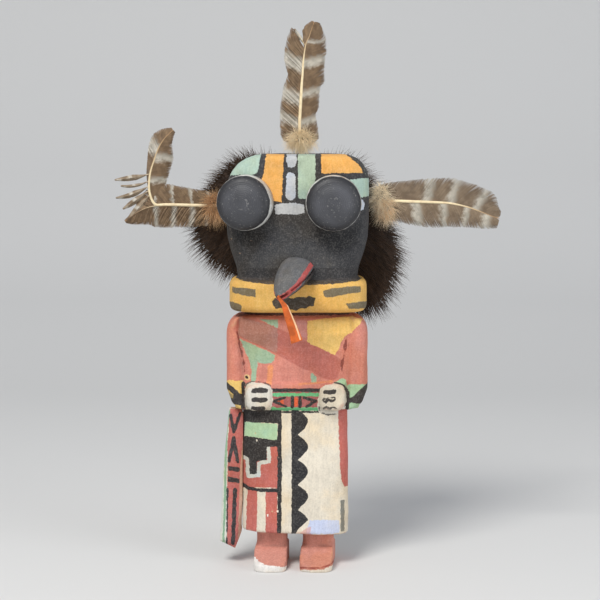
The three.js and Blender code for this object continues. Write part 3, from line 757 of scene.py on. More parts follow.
def lathe(name, centre, axis, profile, turns):
    """A closed turned piece. The profile runs from its back to its front: radius, height."""
    first = axis.orthogonal().normalized()
    second = axis.cross(first)
    shape = bmesh.new()
    rings = []
    for radius, along in profile:
        ring = []
        for step in range(turns):
            turn = 2 * math.pi * step / turns
            out = first * math.cos(turn) + second * math.sin(turn)
            ring.append(shape.verts.new(centre + axis * along + out * radius))
        rings.append(ring)
    for low, high in zip(rings, rings[1:]):
        for step in range(turns):
            shape.faces.new((low[step], low[(step + 1) % turns], high[(step + 1) % turns], high[step]))
    shape.faces.new(rings[0][::-1])
    shape.faces.new(rings[-1])
    bmesh.ops.recalc_face_normals(shape, faces=shape.faces)
    piece = in_scene(name, mesh_of(name, shape))
    made_smooth(piece.data)
    return piece


def eye_material(name):
    """Dark paint, greyer in the middle and darkened by painted shade towards the rounded rim, on a turned face
    with rings, and a white side.
    """
    material, place = new_material(name)
    fine = spots(place, 1300, 4, 0.65)
    ragged = spots(place, 300, 3)
    patchy = spots(place, 90, 3)
    from_axis = held(place, "out")
    on_face = ramped(held(place, "on_face") + (ragged * 0.7 - 0.35), -0.12, 0.12)
    side = blended(ramped(patchy, 0.4, 0.65), paint(216, 215, 210), pale_dust)
    dark = blended(ramped(patchy, 0.35, 0.65), paint(60, 61, 65), paint(74, 75, 80))
    # Painted shade: the dark paint darkens towards the rounded rim of the face, nearly black at its edge.
    rim_painted_shade = ramped(ragged * 2.0 + from_axis, 8.0, 13.0, 0.0, 0.9)
    colour = blended(on_face, side, blended(rim_painted_shade, dark, paint(32, 32, 35)))
    scratched = (from_axis + (patchy * 1.6 - 3.6)).joined("ABSOLUTE")
    specks = ragged * 0.3 + fine + ramped(scratched, 0.7, 0.1, 0.0, 0.08)
    colour = blended(ramped(specks, 0.74, 0.86, 0.0, 0.36), colour, paint(158, 156, 152))
    turning = (from_axis * 7.5 + ragged * 5.0).joined("SINE")
    colour = blended(on_face, colour, shaded(colour, ramped(turning, -1.0, 1.0, 0.93, 1.07)))
    return finished(material, colour, ramped(patchy, 0.3, 0.7, 0.46, 0.62), turning * 0.25 + fine)


eye_paint = eye_material("dark_eye_paint")


def turned_eye(name, node, yaw, shift):
    low, high = [Vector(corner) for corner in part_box(node)]
    axis = Vector((math.sin(yaw), -math.cos(yaw), 0))
    radius = (high.z - low.z) / 2
    face_y = low.y + eye_face_radius * abs(axis.x)
    face_x = low.x + eye_face_radius * abs(axis.y) if yaw < 0 else high.x - eye_face_radius * abs(axis.y)
    front = Vector((face_x, face_y, (low.z + high.z) / 2)) + shift
    profile = [(radius - 0.15 * mm, -eye_length - eye_sink), (radius - 0.25 * mm, -eye_length * 0.6)]
    for step in range(7):
        turn = step / 6 * math.pi / 2
        edge = eye_face_radius - eye_rim
        profile.append((edge + eye_rim * math.cos(turn), -eye_dome - eye_rim + eye_rim * math.sin(turn)))
    profile += [(edge * share, -eye_dome * share ** 2) for share in (0.9, 0.75, 0.6, 0.45, 0.3, 0.15, 0.03)]
    piece = lathe(name, front, axis, profile, eye_rings)
    uneven(piece.data, 0.12 * mm, 0.04 * mm, 9 if yaw < 0 else 10)
    points = coordinates(piece.data) - np.array(front)
    along = points @ np.array(axis)
    out = np.linalg.norm(points - np.outer(along, np.array(axis)), axis=1)
    store(piece.data, "on_face", np.minimum(eye_paint_radius - out, along + eye_dome + eye_rim) / mm)
    store(piece.data, "out", out / mm)
    fixed(piece, "eye_paint", node, material=eye_paint)


turned_eye("left_turned_eye", "left_eye", math.radians(-11), Vector((-1.2, 0, -0.75)) * mm)
turned_eye("right_turned_eye", "right_eye", math.radians(0.1), Vector((0.2, 0, -0.7)) * mm)

# The beak. A short hooked cone whittled from the same root and glued under the white bar,
# black with a red line for its open mouth.
beak_droop = 1.9 * mm
beak_swell = 1.2 * mm
beak = evened_skin("hooked_beak", "beak", 0.32 * mm, 6)
beak_low, beak_high = [Vector(corner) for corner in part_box("beak")]
beak_points = coordinates(beak.data)
towards_tip = np.clip((beak_high.z - beak_points[:, 2]) / (beak_high.z - beak_low.z), 0, 1)
beak_points[:, 2] -= beak_droop * towards_tip ** 2
beak_middle = (beak_low.x + beak_high.x) / 2
towards_side = np.clip((beak_points[:, 0] - beak_middle) / (beak_high.x - beak_middle), 0, 1)
beak_points[:, 0] += beak_swell * towards_side
move(beak.data, beak_points)
uneven(beak.data, 0.08 * mm, 0.03 * mm, 11)
store_wear(beak.data)
beak_coats = PaintPot(beak)
beak_coats.coat_all_round("beak_black", (94, 95, 97))
beak_coats.coat(
    "mouth_red", (172, 78, 76),
    stroke(4.8, (311.4, 264.4), (304.2, 275.8), (298.6, 283.8), (290.8, 291.2), (284, 296.4),
        (278, 299.6)),
    stroke(1.8, (272.8, 288), (273.6, 293), (275.4, 298.4)))
beak_coats.coat(
    "mouth_shadow", (52, 46, 46),
    stroke(4.4, (316.2, 267), (309.2, 278.6), (303.6, 287), (295.4, 295), (288, 300.8)))
# Painted highlight: a paler grey along the beak's upper ridge and across the top of its base.
beak_coats.coat(
    "beak_painted_highlight", (104, 104, 108),
    stroke(3, (289, 259), (283, 268), (279.6, 280), (278.6, 291)),
    stroke(2.4, (297, 258.6), (304, 261)),
    opacity=0.5)
beak_paint = painted_material("black_and_red_beak_paint", beak_coats.coats, 0.6, 0.76, 0.3)
fixed(beak, "beak_paint", "beak", material=beak_paint)

# The tongue. A narrow strip of dyed leather, glued into the slit at the beak's tip, that hangs
# over the ruff.
tongue_stretch = 2.2 * mm
tongue_shift = 1.9 * mm
tongue_narrow = 0.44
tongue_widening = 0.82
held_in_beak = 3 * mm
tongue = evened_skin("leather_tongue", "tongue", 0.22 * mm, 3)
tongue_low, tongue_high = [Vector(corner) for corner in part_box("tongue")]
tongue_points = coordinates(tongue.data)
across, _, height = tongue_points.T.copy()
hanging = np.clip((tongue_high.z - held_in_beak - height) / (tongue_high.z - tongue_low.z), 0, 1)
height = height - tongue_stretch * hanging
middle = np.polyval(np.polyfit(height, across, 2), height)
across = middle + (across - middle) * (tongue_narrow + tongue_widening * hanging)
across = across + tongue_shift * np.clip(hanging * 6, 0, 1) * (1 - 1.1 * hanging ** 2)
tongue_points[:, 0] = across
tongue_points[:, 2] = height
move(tongue.data, tongue_points)
uneven(tongue.data, 0.12 * mm, 0.04 * mm, 3)
store_wear(tongue.data)
PaintPot(tongue).coat(
    "cut_edge", (246, 206, 160),
    stroke(1.7, (284.8, 298.4), (288.8, 307.1), (292.8, 317.3), (295, 323.1), (298.6, 334.1),
        (300.2, 339.2)))


def leather_material(name, colour, worn_colour):
    """Dyed leather, rubbed pale where it bends, with a paler cut edge."""
    material, place = new_material(name)
    fibres = spots(stretched(place, 1900, 500), 1.0, 4, 0.6)
    patchy = spots(place, 260, 3)
    tone = blended(ramped(patchy, 0.35, 0.65), colour, darker(colour, 0.62))
    tone = blended(ramped(held(place, "bend"), 0.02, 0.05, 0.0, 0.5), tone, worn_colour)
    cut = ramped(patchy * 0.5 + held(place, "cut_edge"), 0.1, 0.4, 0.0, 0.85)
    tone = blended(cut, tone, paint(246, 206, 160))
    return finished(material, tone, 0.68, fibres, 0.6, 0.12 * mm)


dyed_leather = leather_material("dyed_leather", paint(222, 104, 34), paint(240, 178, 120))
fixed(tongue, "leather", "tongue", material=dyed_leather)

# The sash. A flat slat of the same root with its long edges cut back, glued beside the kilt and
# painted as a woven sash: red, with black bars and a white and green edge.
sash = evened_skin("hanging_sash", "hip_sash", 0.42 * mm, 4)
uneven(sash.data, 0.12 * mm, 0.05 * mm, 7)
store_wear(sash.data)
sash_coats = PaintPot(sash)
sash_coats.coat_all_round("sash_side_cream", (196, 158, 138))
sash_coats.coat(
    "sash_left_white", (218, 220, 208),
    patch((205, 405), (231.4, 405), (230, 425), (228.8, 440), (228.4, 470), (228, 500), (227, 556),
        (200, 556)))
sash_coats.coat(
    "sash_left_green", (118, 170, 128),
    stroke(2.2, (230, 411), (227.2, 425), (225.8, 457), (225, 496), (224.4, 520), (223.4, 544)),
    opacity=0.8)
sash_coats.coat(
    "sash_red", (186, 106, 100),
    patch((230.2, 409), (246, 409), (244.6, 425.5), (242.4, 444.6), (240.6, 462), (239.2, 499.5),
        (237.6, 552), (226.6, 552), (227, 500), (227.6, 440), (228.7, 425.5)))
sash_coats.coat(
    "sash_black", (56, 52, 54),
    stroke(3.3, (230.8, 415.4), (233.8, 432), (240, 413.6)),
    stroke(3.4, (229, 461), (233.8, 438), (237.8, 462)),
    patch((228, 465.7), (240, 467.4), (239.8, 472), (228, 470.6)),
    patch((227.9, 476.6), (239.4, 478.8), (239.2, 483.4), (227.8, 481.6)),
    stroke(1.6, (227.5, 489), (227.1, 520), (226.6, 546)),
    stroke(4, (235, 490), (234, 520), (232.8, 543)))
sash_paint = painted_material("sash_paint_on_cottonwood", sash_coats.coats)
fixed(sash, "sash_paint", "hip_sash", material=sash_paint)

# The feathers. Small barred feathers from a bird of prey, each glued by its quill into a hole
# in the head. Barbs leave the shaft on both sides, cling together in clumps and part in
# splits. The left feather's shaft is broken, and its end stands up.
feather_depth = 12.9 * mm


def new_rule(name, **inputs):
    """A geometry tree that takes a mesh, with the named inputs of each kind, and gives a mesh."""
    tree = bpy.data.node_groups.new(name, "GeometryNodeTree")
    for kind, labels in {"Geometry": ["Geometry"], **inputs}.items():
        for label in labels:
            tree.interface.new_socket(label, in_out="INPUT", socket_type="NodeSocket" + kind)
    tree.interface.new_socket("Geometry", in_out="OUTPUT", socket_type="NodeSocketGeometry")
    return tree, wire(tree, "NodeGroupInput")


def give(geometry):
    """Makes geometry the outcome of its tree."""
    geometry.tree.links.new(geometry.socket, geometry.tree.nodes.new("NodeGroupOutput").inputs[0])


def marked(geometry, label, value):
    """Geometry that keeps a value for each of its points."""
    kind = "FLOAT_VECTOR" if value.is_vector else "FLOAT"
    fields = {"Geometry": geometry, "Name": label, "Value": value}
    return wire(geometry.tree, "GeometryNodeStoreNamedAttribute", fields, data_type=kind, domain="POINT")


def recalled(tree, label, kind="FLOAT"):
    """What geometry keeps for each of its points under a name."""
    return wire(tree, "GeometryNodeInputNamedAttribute", {"Name": label}, data_type=kind)


def sprouted(points, steps):
    """A short straight curve on each point, for the rule to bend."""
    tree = points.tree
    line = wire(tree, "GeometryNodeCurvePrimitiveLine", {"Start": (0, 0, 0), "End": (0, 0, 1 * mm)})
    line = wire(tree, "GeometryNodeResampleCurve", {"Curve": line, "Count": steps})
    curves = wire(tree, "GeometryNodeInstanceOnPoints", {"Points": points, "Instance": line})
    return wire(tree, "GeometryNodeRealizeInstances", {0: curves})


def tubes(curves, sides, radius, material):
    """Closed tubes along curves."""
    tree = curves.tree
    ring = wire(tree, "GeometryNodeCurvePrimitiveCircle", {"Resolution": sides, "Radius": 1.0})
    fields = {"Curve": curves, "Profile Curve": ring, "Scale": radius, "Fill Caps": True}
    skin = wire(tree, "GeometryNodeCurveToMesh", fields)
    return wire(tree, "GeometryNodeSetMaterial", {"Geometry": skin, "Material": material})


def drift(place, scale, detail, roughness=0.5):
    """A smooth chance direction over space."""
    fields = {"Vector": place, "Scale": scale, "Detail": detail, "Roughness": roughness}
    return wire(place.tree, "ShaderNodeTexNoise", fields, 1) - (0.5, 0.5, 0.5)


def feather_tree():
    """The rule of a feather: a shaft, and barbs that leave it and sweep towards its tip."""
    tree, given = new_rule(
        "feather", Int=["Barbs each side"], Material=["Vane material", "Shaft material"],
        Float=["Barb radius", "Sweep", "Clumping", "Down", "Shaft radius", "Seed", "Split at", "Split width"])
    curve = wire(tree, "GeometryNodeMeshToCurve", {0: given["Geometry"]})

    def along_shaft(factor, width=None):
        """Where the shaft is, how it runs and how wide the vane is at a share of its length."""
        fields = {"Curves": curve, "Factor": factor}
        if width:
            fields["Value"] = recalled(tree, width)
        return wire(tree, "GeometryNodeSampleCurve", fields, mode="FACTOR")

    number = wire(tree, "GeometryNodeInputIndex")
    total = given["Barbs each side"] * 2.0
    points = wire(tree, "GeometryNodeMeshLine", {"Count": total, "Offset": (0, 0, 0)})
    points = marked(points, "side", number.joined("MODULO", 2.0) * 2.0 - 1.0)
    points = marked(points, "root", number.joined("DIVIDE", total - 1.0))
    barbs = sprouted(points, 6)
    side = recalled(tree, "side")
    root = recalled(tree, "root")
    out = wire(tree, "GeometryNodeSplineParameter", output="Factor")

    def chance(scale, offset):
        """A smooth chance value, from -1 to 1, along the shaft and different on each side."""
        spot = wire(tree, "ShaderNodeCombineXYZ", {0: root * scale, 1: side * 7.3 + offset, 2: given["Seed"]})
        return wire(tree, "ShaderNodeTexNoise", {"Vector": spot, "Scale": 1.0, "Detail": 2.0}) * 4.0 - 2.0

    clump = chance(34.0, 0.0) * given["Clumping"] * ramped(root, 0.6, 0.95, 0.1, 0.6)
    stray = chance(260.0, 3.0) * 0.004
    sweep = given["Sweep"] * (clump + 1.0)
    start = root * (given["Sweep"] * -0.25 + 1.0)
    along = wire(tree, "ShaderNodeClamp", {0: start + (sweep + stray) * out.joined("POWER", 0.9)})
    here = along_shaft(along)
    is_inner = side.joined("GREATER_THAN", 0.0)
    width = chosen(is_inner, along_shaft(along, "outer")["Value"], along_shaft(along, "inner")["Value"])
    width = width * (chance(120.0, 9.0) * 0.05 + 1.0)
    beyond_split = root.joined("GREATER_THAN", given["Split at"]) * (1.0 - is_inner)
    width = width * (beyond_split * (given["Split width"] - 1.0) + 1.0)
    across = here["Tangent"].joined("CROSS_PRODUCT", (0, -1, 0))
    place = here["Position"] + across * (width * out * side)
    downy = ramped(along, 0.2, 0.02) * given["Down"] * out
    place = place + drift(place, 700.0, 2.0) * downy
    off_plane = chance(60.0, 5.0) * out * (0.2 * mm) + out * out * (0.9 * mm)
    off_plane = wire(tree, "ShaderNodeCombineXYZ", {1: off_plane})
    barbs = wire(tree, "GeometryNodeSetPosition", {"Geometry": barbs, "Position": place, "Offset": off_plane})
    barbs = marked(barbs, "along", along)
    barbs = marked(barbs, "across", out * side)
    barbs = marked(barbs, "barb", chance(300.0, 20.0))
    thin = given["Barb radius"] * ramped(out, 0.7, 1.0, 1.0, 0.3)
    vane = tubes(barbs, 3, thin, given["Vane material"])

    shaft = wire(tree, "GeometryNodeResampleCurve", {"Curve": curve, "Count": 60})
    along = wire(tree, "GeometryNodeSplineParameter", output="Factor")
    taper = given["Shaft radius"] * ramped(along, 0.3, 1.0, 1.0, 0.3)
    shaft = tubes(marked(shaft, "along", along), 10, taper, given["Shaft material"])
    both = wire(tree, "GeometryNodeJoinGeometry", {0: vane})
    tree.links.new(shaft.socket, both.socket.node.inputs[0])
    give(both)
    return tree


def bars(along, spans):
    """Light bars at shares of the shaft's length, each with soft edges."""
    light = wire(along.tree, "ShaderNodeValToRGB", {0: along})
    ramp = light.socket.node.color_ramp
    stops = []
    for start, end in spans:
        soft = min(0.026, (end - start) / 2.4)
        stops += [(start - soft / 2, 0.0), (start + soft, 0.9), (end - soft, 0.9), (end + soft / 2, 0.0)]
    while len(ramp.elements) > 1:
        ramp.elements.remove(ramp.elements[-1])
    ramp.elements[0].position = 0.0
    ramp.elements[0].color = (0, 0, 0, 1)
    for place, level in stops:
        ramp.elements.new(min(max(place, 0.0), 1.0)).color = (level, level, level, 1)
    return light


def vane_material(name, outer_bars, inner_bars, slant=0.02, dark=(106, 83, 58), light_brown=(134, 109, 80)):
    """Brown vanes with lighter bars, which differ on the two sides of the shaft."""
    material, place = new_material(name)
    along = held(place, "along")
    across = held(place, "across")
    barb = held(place, "barb")
    mottle = spots(place, 420, 3)
    warped = across.joined("ABSOLUTE") * -slant + along + (mottle * 0.07 - 0.035) + barb * 0.009
    on_inner = across.joined("GREATER_THAN", 0.0)
    light = chosen(on_inner, bars(warped, outer_bars), bars(warped, inner_bars))
    brown = blended(ramped(mottle, 0.3, 0.7), paint(*dark), paint(*light_brown))
    pale = blended(ramped(mottle, 0.35, 0.65), paint(174, 168, 154), paint(204, 198, 184))
    colour = blended(light, brown, pale)
    colour = blended(ramped(along, 0.14, 0.04), colour, paint(204, 186, 158))
    colour = shaded(colour, ramped(barb, -0.8, 0.8, 0.86, 1.12))
    return finished(material, colour, 0.62, Sheen_Weight=0.15)


def shaft_material(name):
    material, place = new_material(name)
    tone = ramped(held(place, "along"), 0.6, 1.0)
    colour = blended(tone, paint(238, 220, 180), paint(164, 128, 90))
    mottle = ramped(spots(place, 500, 2), 0.4, 0.7, 0.0, 0.3)
    return finished(material, blended(mottle, colour, paint(190, 156, 114)), 0.38)


feather_rule = feather_tree()
shaft_finish = shaft_material("feather_shaft")


def grown(name, start_mesh, tree, values):
    """The plain mesh that a geometry tree makes from a starting mesh."""
    piece = in_scene(name, start_mesh)
    modifier = piece.modifiers.new("rule", "NODES")
    modifier.node_group = tree
    for item in tree.interface.items_tree:
        if item.name in values:
            modifier[item.identifier] = values[item.name]
    applied(piece, modifier)
    made_smooth(piece.data)
    return piece


def curved(stations):
    """A smooth line of stations through some given ones, with four steps between each two."""
    line = []
    for step in range(len(stations) - 1):
        before = stations[max(step - 1, 0)]
        beyond = stations[min(step + 2, len(stations) - 1)]
        for t in (0, 0.25, 0.5, 0.75):
            line.append([
                b + ((c - a) * t + (2 * a - 5 * b + 4 * c - d) * t ** 2 + (3 * b - a - 3 * c + d) * t ** 3) / 2
                for a, b, c, d in zip(before, stations[step], stations[step + 1], beyond)
            ])
    return line + [stations[-1]]


def feather(name, stations, material, barb_count, sweep, clumping, down, seed, *nodes, shaft=0.76 * mm,
            barb=0.2 * mm, split_at=2.0, split_width=1.0):
    """A feather along a shaft. Each station is a place in the picture and the vane's two widths there."""
    mesh = bpy.data.meshes.new(name)
    line = curved(stations)
    points = [placed(station[:2], feather_depth) for station in line]
    mesh.from_pydata(points, [(step, step + 1) for step in range(len(points) - 1)], [])
    store(mesh, "outer", np.array([max(station[2], 0.4) for station in line]) * pixel)
    store(mesh, "inner", np.array([max(station[3], 0.4) for station in line]) * pixel)
    piece = grown(name, mesh, feather_rule, {
        "Barbs each side": barb_count, "Barb radius": barb, "Sweep": sweep, "Clumping": clumping,
        "Down": down, "Shaft radius": shaft, "Seed": seed, "Split at": split_at, "Split width": split_width,
        "Vane material": material, "Shaft material": shaft_finish,
    })
    fixed(piece, "feather", *nodes)


crown_stations = [
    (301, 156, 2, 2), (300.5, 150, 6.6, 15), (300.3, 138.6, 18, 18.4), (299.6, 124, 19.6, 17.6),
    (300.1, 113, 19.8, 15.6), (300.5, 106, 19.6, 18), (301.5, 88, 17.8, 18.4), (302.1, 80, 15.6, 21.8),
    (302.6, 74, 14.8, 21.6), (303.6, 59, 19.4, 20.9), (306, 43.7, 19.4, 21), (309, 37, 19.6, 18.4),
    (311.4, 30, 18.4, 14), (313, 25.4, 14, 9.6), (314, 21.6, 6, 6),
]
crown_vane = vane_material("crown_vane", [(0.2, 0.28), (0.36, 0.47), (0.6, 0.71)],
                           [(0.2, 0.27), (0.42, 0.48), (0.64, 0.72), (0.84, 0.865)], slant=0.05)
feather("crown_barred_feather", crown_stations, crown_vane, 430, 0.12, 0.2, 2.0 * mm, 2.0, "crown_feather",
        barb=0.235 * mm, split_at=0.812, split_width=0.42)

left_vane = vane_material("left_vane", [(0.2, 0.24), (0.34, 0.39), (0.5, 0.55), (0.67, 0.72)],
                          [(0.2, 0.23), (0.36, 0.39), (0.52, 0.55), (0.68, 0.71)])
left_low_stations = [
    (234, 206, 2, 2), (222, 205.9, 8, 8), (212, 205.8, 19, 14), (202.4, 205.6, 20.6, 15),
    (184, 205.2, 22, 18), (167, 205.2, 22.4, 21), (156, 205.8, 21.6, 21), (146, 208, 19.4, 14),
    (137, 212.6, 14, 5), (130, 217.4, 9, 2), (125, 221, 3, 1),
]
feather("left_feather_lower_vane", left_low_stations, left_vane, 400, 0.13, 0.3, 1.6 * mm, 7.0,
        "left_feather", shaft=0.3 * mm)
left_end_vane = vane_material("left_end_vane", [(0.79, 0.88)], [(0.62, 0.67), (0.775, 0.83)])
left_end_stations = [
    (234, 206, 1, 1), (202.4, 205.4, 1, 1), (167, 204.6, 1, 1), (157.5, 205, 1, 1), (153.6, 203, 1, 2),
    (150.6, 196.4, 1, 8), (149.2, 189.4, 1, 14), (149.2, 180.8, 2.4, 17), (150.7, 171, 4.4, 18),
    (153.6, 161.7, 6.6, 18), (156.5, 153, 9, 17.6), (159.6, 146, 11, 15), (164, 139, 11, 10),
    (169, 133.6, 7, 6), (173, 130, 3, 3),
]
feather("left_feather_broken_end", left_end_stations, left_end_vane, 620, 0.05, 0.3, 0.0, 5.0)

loose_vane = vane_material("loose_vane", [(0.84, 0.98)], [(0.5, 0.62)],
                           dark=(120, 100, 76), light_brown=(158, 142, 120))
loose_clumps = [
    [(149.2, 174, 1.4, 1.4), (140, 176.4, 3, 2.8), (127, 178.6, 2.6, 2.6), (114.8, 180, 0.8, 0.8)],
    [(149, 181, 1, 1), (140, 184.6, 1.6, 1.6), (129, 186.4, 1.5, 1.5), (121, 186, 0.8, 0.8)],
    [(149.2, 186, 1.2, 1.2), (140, 191, 2.8, 2.6), (128, 195.8, 2.6, 2.4), (116, 198, 0.8, 0.8)],
    [(149.4, 190, 1.4, 1.4), (141, 196.6, 3, 2.8), (131, 203.6, 2.8, 2.6), (123, 209, 0.8, 0.8)],
    [(150.2, 194, 1.6, 1.6), (144, 202, 4.6, 4), (136, 211.4, 4.6, 3.8), (127.6, 219.6, 1.2, 1.2)],
]
crown_loose_vane = vane_material("crown_loose_vane", [(0.3, 0.95)], [(0.3, 0.95)])
crown_loose = [
    (305, 45.4, 0.8, 0.8), (301.8, 39.8, 1.8, 1.8), (298.2, 34.6, 1.8, 1.8), (294.4, 29, 0.8, 0.8),
]
feather("crown_feather_loose_barbs", crown_loose, crown_loose_vane, 20, 0.45, 0.3, 0.0, 17.0,
        shaft=0.12 * mm, barb=0.13 * mm)
for number, stations in enumerate(loose_clumps):
    feather(f"left_feather_loose_barbs_{number + 1}", stations, loose_vane, 34, 0.45, 0.3, 0.0, 11.0 + number,
            shaft=0.09 * mm, barb=0.19 * mm)

right_stations = [
    (364, 201, 2, 2), (371, 201, 8, 6), (380, 200.9, 16, 16), (396.6, 201, 19.5, 20),
    (417, 201.7, 22, 24), (432, 202.2, 23.6, 25), (447.6, 203, 25, 24), (458.5, 204.8, 24.4, 22.8),
    (469.3, 207.5, 23.4, 20.6), (479, 211, 22.6, 18), (486.5, 214, 21, 16), (493, 216.6, 15, 13),
    (499.4, 218.2, 7, 10),
]
right_vane = vane_material("right_vane", [(0.42, 0.49), (0.6, 0.66), (0.79, 0.85)],
                           [(0.34, 0.42), (0.55, 0.61), (0.73, 0.78), (0.88, 0.95)],
                           dark=(118, 99, 78), light_brown=(140, 121, 98))
feather("right_barred_feather", right_stations, right_vane, 430, 0.12, 0.3, 2.0 * mm, 4.0, "right_feather")

# The fur. A strip of dark animal skin with its soft hair on, tied round the back of the head
# and hanging behind the ruff. The hair lies outwards and down from the head.
fur_core = evened_skin("fur_hide", "fur_strip", 1.4 * mm, 6)
hide_inside_hair = 0.89
hair_count = 7300
hair_curl = 1.6 * mm
underfur_length = 7 * mm
guard_length = 10.5 * mm
hair_radius = 0.12 * mm


def fur_tree():
    """The rule of a fur: tapered hairs that leave the hide, lean one way and cling in tufts."""
    tree, given = new_rule(
        "fur", Float=["Density", "Length", "Radius", "Tufting", "Curl", "Scatter"],
        Vector=["Middle"], Int=["Seed"], Material=["Hair material"])
    fields = {"Mesh": given["Geometry"], "Density": given["Density"], "Seed": given["Seed"]}
    spread = wire(tree, "GeometryNodeDistributePointsOnFaces", fields, distribute_method="RANDOM")
    hairs = marked(spread["Points"], "rooted", wire(tree, "GeometryNodeInputPosition"))
    hairs = marked(hairs, "facing", spread["Normal"])
    chance = wire(tree, "FunctionNodeRandomValue", {"Seed": given["Seed"]}, 1, data_type="FLOAT")
    hairs = sprouted(marked(hairs, "hair", chance), 5)
    rooted = recalled(tree, "rooted", "FLOAT_VECTOR")
    facing = recalled(tree, "facing", "FLOAT_VECTOR")
    hair = recalled(tree, "hair")
    out = wire(tree, "GeometryNodeSplineParameter", output="Factor")
    outwards = ((rooted - given["Middle"]) * (1, 0, 1)).joined("NORMALIZE")
    lean = facing * 0.55 + outwards * 0.9 + (0, 0, -0.35)
    own = {"W": hair * 5000.0, "Scale": 1.0, "Detail": 0.0}
    own = wire(tree, "ShaderNodeTexNoise", own, 1, noise_dimensions="1D") - (0.5, 0.5, 0.5)
    tuft = drift(rooted, 300.0, 3.0) * given["Tufting"]
    lean = (lean + tuft + own * given["Scatter"]).joined("NORMALIZE")
    length = given["Length"] * ramped(hair, 0.0, 1.0, 0.35, 1.0)
    drop = wire(tree, "ShaderNodeCombineXYZ", {2: out * out * (-1.6 * mm)})
    place = rooted + lean * (length * out) + drop
    place = place + drift(place, 260.0, 3.0, 0.7) * (out * out * given["Curl"]) * 2.0
    hairs = wire(tree, "GeometryNodeSetPosition", {"Geometry": hairs, "Position": place})
    thin = given["Radius"] * ramped(out, 0.2, 1.0, 1.0, 0.15)
    give(tubes(marked(hairs, "out", out), 3, thin, given["Hair material"]))
    return tree


def hair_material(name, deep, middle, tip):
    """Hair that is darker at its root, with some hairs paler than others."""
    material, place = new_material(name)
    dark = blended(ramped(spots(place, 110, 3), 0.35, 0.65), deep, middle)
    colour = blended(ramped(held(place, "out"), 0.3, 1.0, 0.0, 0.6), dark, tip)
    colour = blended(ramped(held(place, "hair"), 0.75, 1.0, 0.0, 0.5), colour, tip)
    return finished(material, colour, 0.6, Specular_IOR_Level=0.25, Sheen_Weight=0.05)


def hide_material(name):
    material, place = new_material(name)
    tufts = spots(place, 260, 4)
    colour = blended(ramped(tufts, 0.35, 0.65), paint(40, 28, 20), paint(62, 45, 32))
    return finished(material, colour, 0.85, tufts, 0.8, 0.6 * mm)


fur_middle = sum((Vector(corner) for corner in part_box("fur_strip")), Vector()) / 2
hide_points = coordinates(fur_core.data) - np.array(fur_middle)
move(fur_core.data, np.array(fur_middle) + hide_points * (hide_inside_hair, 0.94, hide_inside_hair))
hide_area = sum(face.area for face in fur_core.data.polygons)
fur_rule = fur_tree()
dark_hair = hair_material("dark_hair", paint(38, 27, 18), paint(66, 47, 31), paint(86, 62, 42))
for layer, length, tufting, seed, nodes in (
    ("fur_underfur", underfur_length, 1.3, 12, ["fur_strip"]), ("fur_guard_hair", guard_length, 0.9, 31, []),
):
    layer_of_hair = grown(layer, fur_core.data.copy(), fur_rule, {
        "Density": hair_count / hide_area, "Length": length, "Radius": hair_radius, "Tufting": tufting,
        "Curl": hair_curl, "Scatter": 1.2, "Middle": fur_middle, "Seed": seed, "Hair material": dark_hair,
    })
    fixed(layer_of_hair, "fur", *nodes)
fixed(fur_core, "fur", material=hide_material("hide_under_hair"))

# The down. Soft pale fluff at the foot of each feather, which hides its quill where it enters
# the head.
down_length = 7 * mm
down_curl = 3 * mm
down_radius = 0.065 * mm


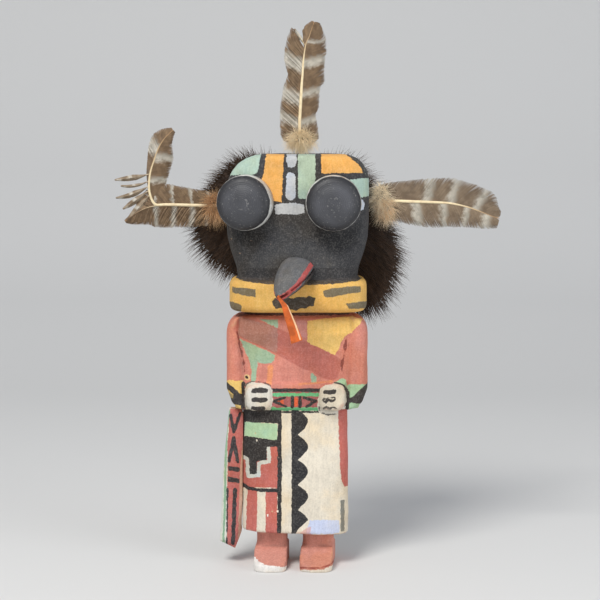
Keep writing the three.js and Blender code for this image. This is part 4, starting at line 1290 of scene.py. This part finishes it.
def down_tuft(name, place, wide, tall, hairs, deep, tip, seed):
    """A tuft of down round a quill, from its middle in the picture and its half width and height there."""
    core = bmesh.new()
    bmesh.ops.create_icosphere(core, subdivisions=3, radius=1.0)
    middle = placed(place, feather_depth)
    for vert in core.verts:
        vert.co = middle + Vector((vert.co.x * wide * pixel, vert.co.y * 2.0 * mm, vert.co.z * tall * pixel))
    mesh = mesh_of(name, core)
    area = sum(face.area for face in mesh.polygons)
    tuft = grown(name, mesh, fur_rule, {
        "Density": hairs / area, "Length": down_length, "Radius": down_radius, "Tufting": 2.6,
        "Curl": down_curl, "Scatter": 6.0, "Middle": middle, "Seed": seed,
        "Hair material": hair_material(name + "_hair", paint(*deep), paint(*deep), paint(*tip)),
    })
    fixed(tuft, "feather")


down_tuft("crown_down", (300.6, 139), 9, 7, 1500, (240, 218, 178), (252, 240, 214), 21)
down_tuft("left_down", (216, 205.6), 8, 11, 1600, (204, 156, 110), (236, 202, 158), 22)
down_tuft("right_down_above", (381, 196), 6, 9, 1100, (240, 222, 190), (252, 242, 220), 23)
down_tuft("right_down_below", (386, 208), 6, 8, 1000, (228, 196, 154), (250, 234, 204), 24)

# The studio: a plain pale sheet that runs under the doll and up behind it, a large soft light
# from the upper left, a weaker one from the right and an even grey sky.
sheet_profile = [(-1.6, 0.0), (0.5, 0.0), (0.75, 0.04), (0.9, 0.15), (0.96, 0.35), (0.98, 2.4)]
sheet_mesh = bpy.data.meshes.new("studio_sheet")
sheet_points = [(x, y, z) for y, z in sheet_profile for x in (-2.5, 2.5)]
sheet_faces = [(2 * i, 2 * i + 1, 2 * i + 3, 2 * i + 2) for i in range(len(sheet_profile) - 1)]
sheet_mesh.from_pydata(sheet_points, [], sheet_faces)
made_smooth(sheet_mesh)
sheet = in_scene("studio_sheet", sheet_mesh)
sheet_mesh.materials.append(finished(new_material("pale_sheet")[0], paint(214, 214, 212), 0.9))


def soft_light(name, place, size, power, colour):
    lamp = bpy.data.lights.new(name, "AREA")
    lamp.shape = "DISK"
    lamp.size = size
    lamp.energy = power
    lamp.color = colour
    light = in_scene(name, lamp)
    light.location = place
    light.rotation_euler = (aim - Vector(place)).to_track_quat("-Z", "Y").to_euler()


soft_light("main_light", (-0.38, -0.72, 1.08), 0.5, 13, (1.0, 0.98, 0.95))
soft_light("fill_light", (0.85, -0.6, 0.35), 0.7, 4, (0.95, 0.97, 1.0))
world = bpy.data.worlds.new("studio")
world.use_nodes = True
sky = world.node_tree.nodes["Background"]
sky.inputs["Color"].default_value = (0.86, 0.9, 1.0, 1)
sky.inputs["Strength"].default_value = 0.45
bpy.context.scene.world = world
bpy.context.scene.view_settings.view_transform = "Standard"
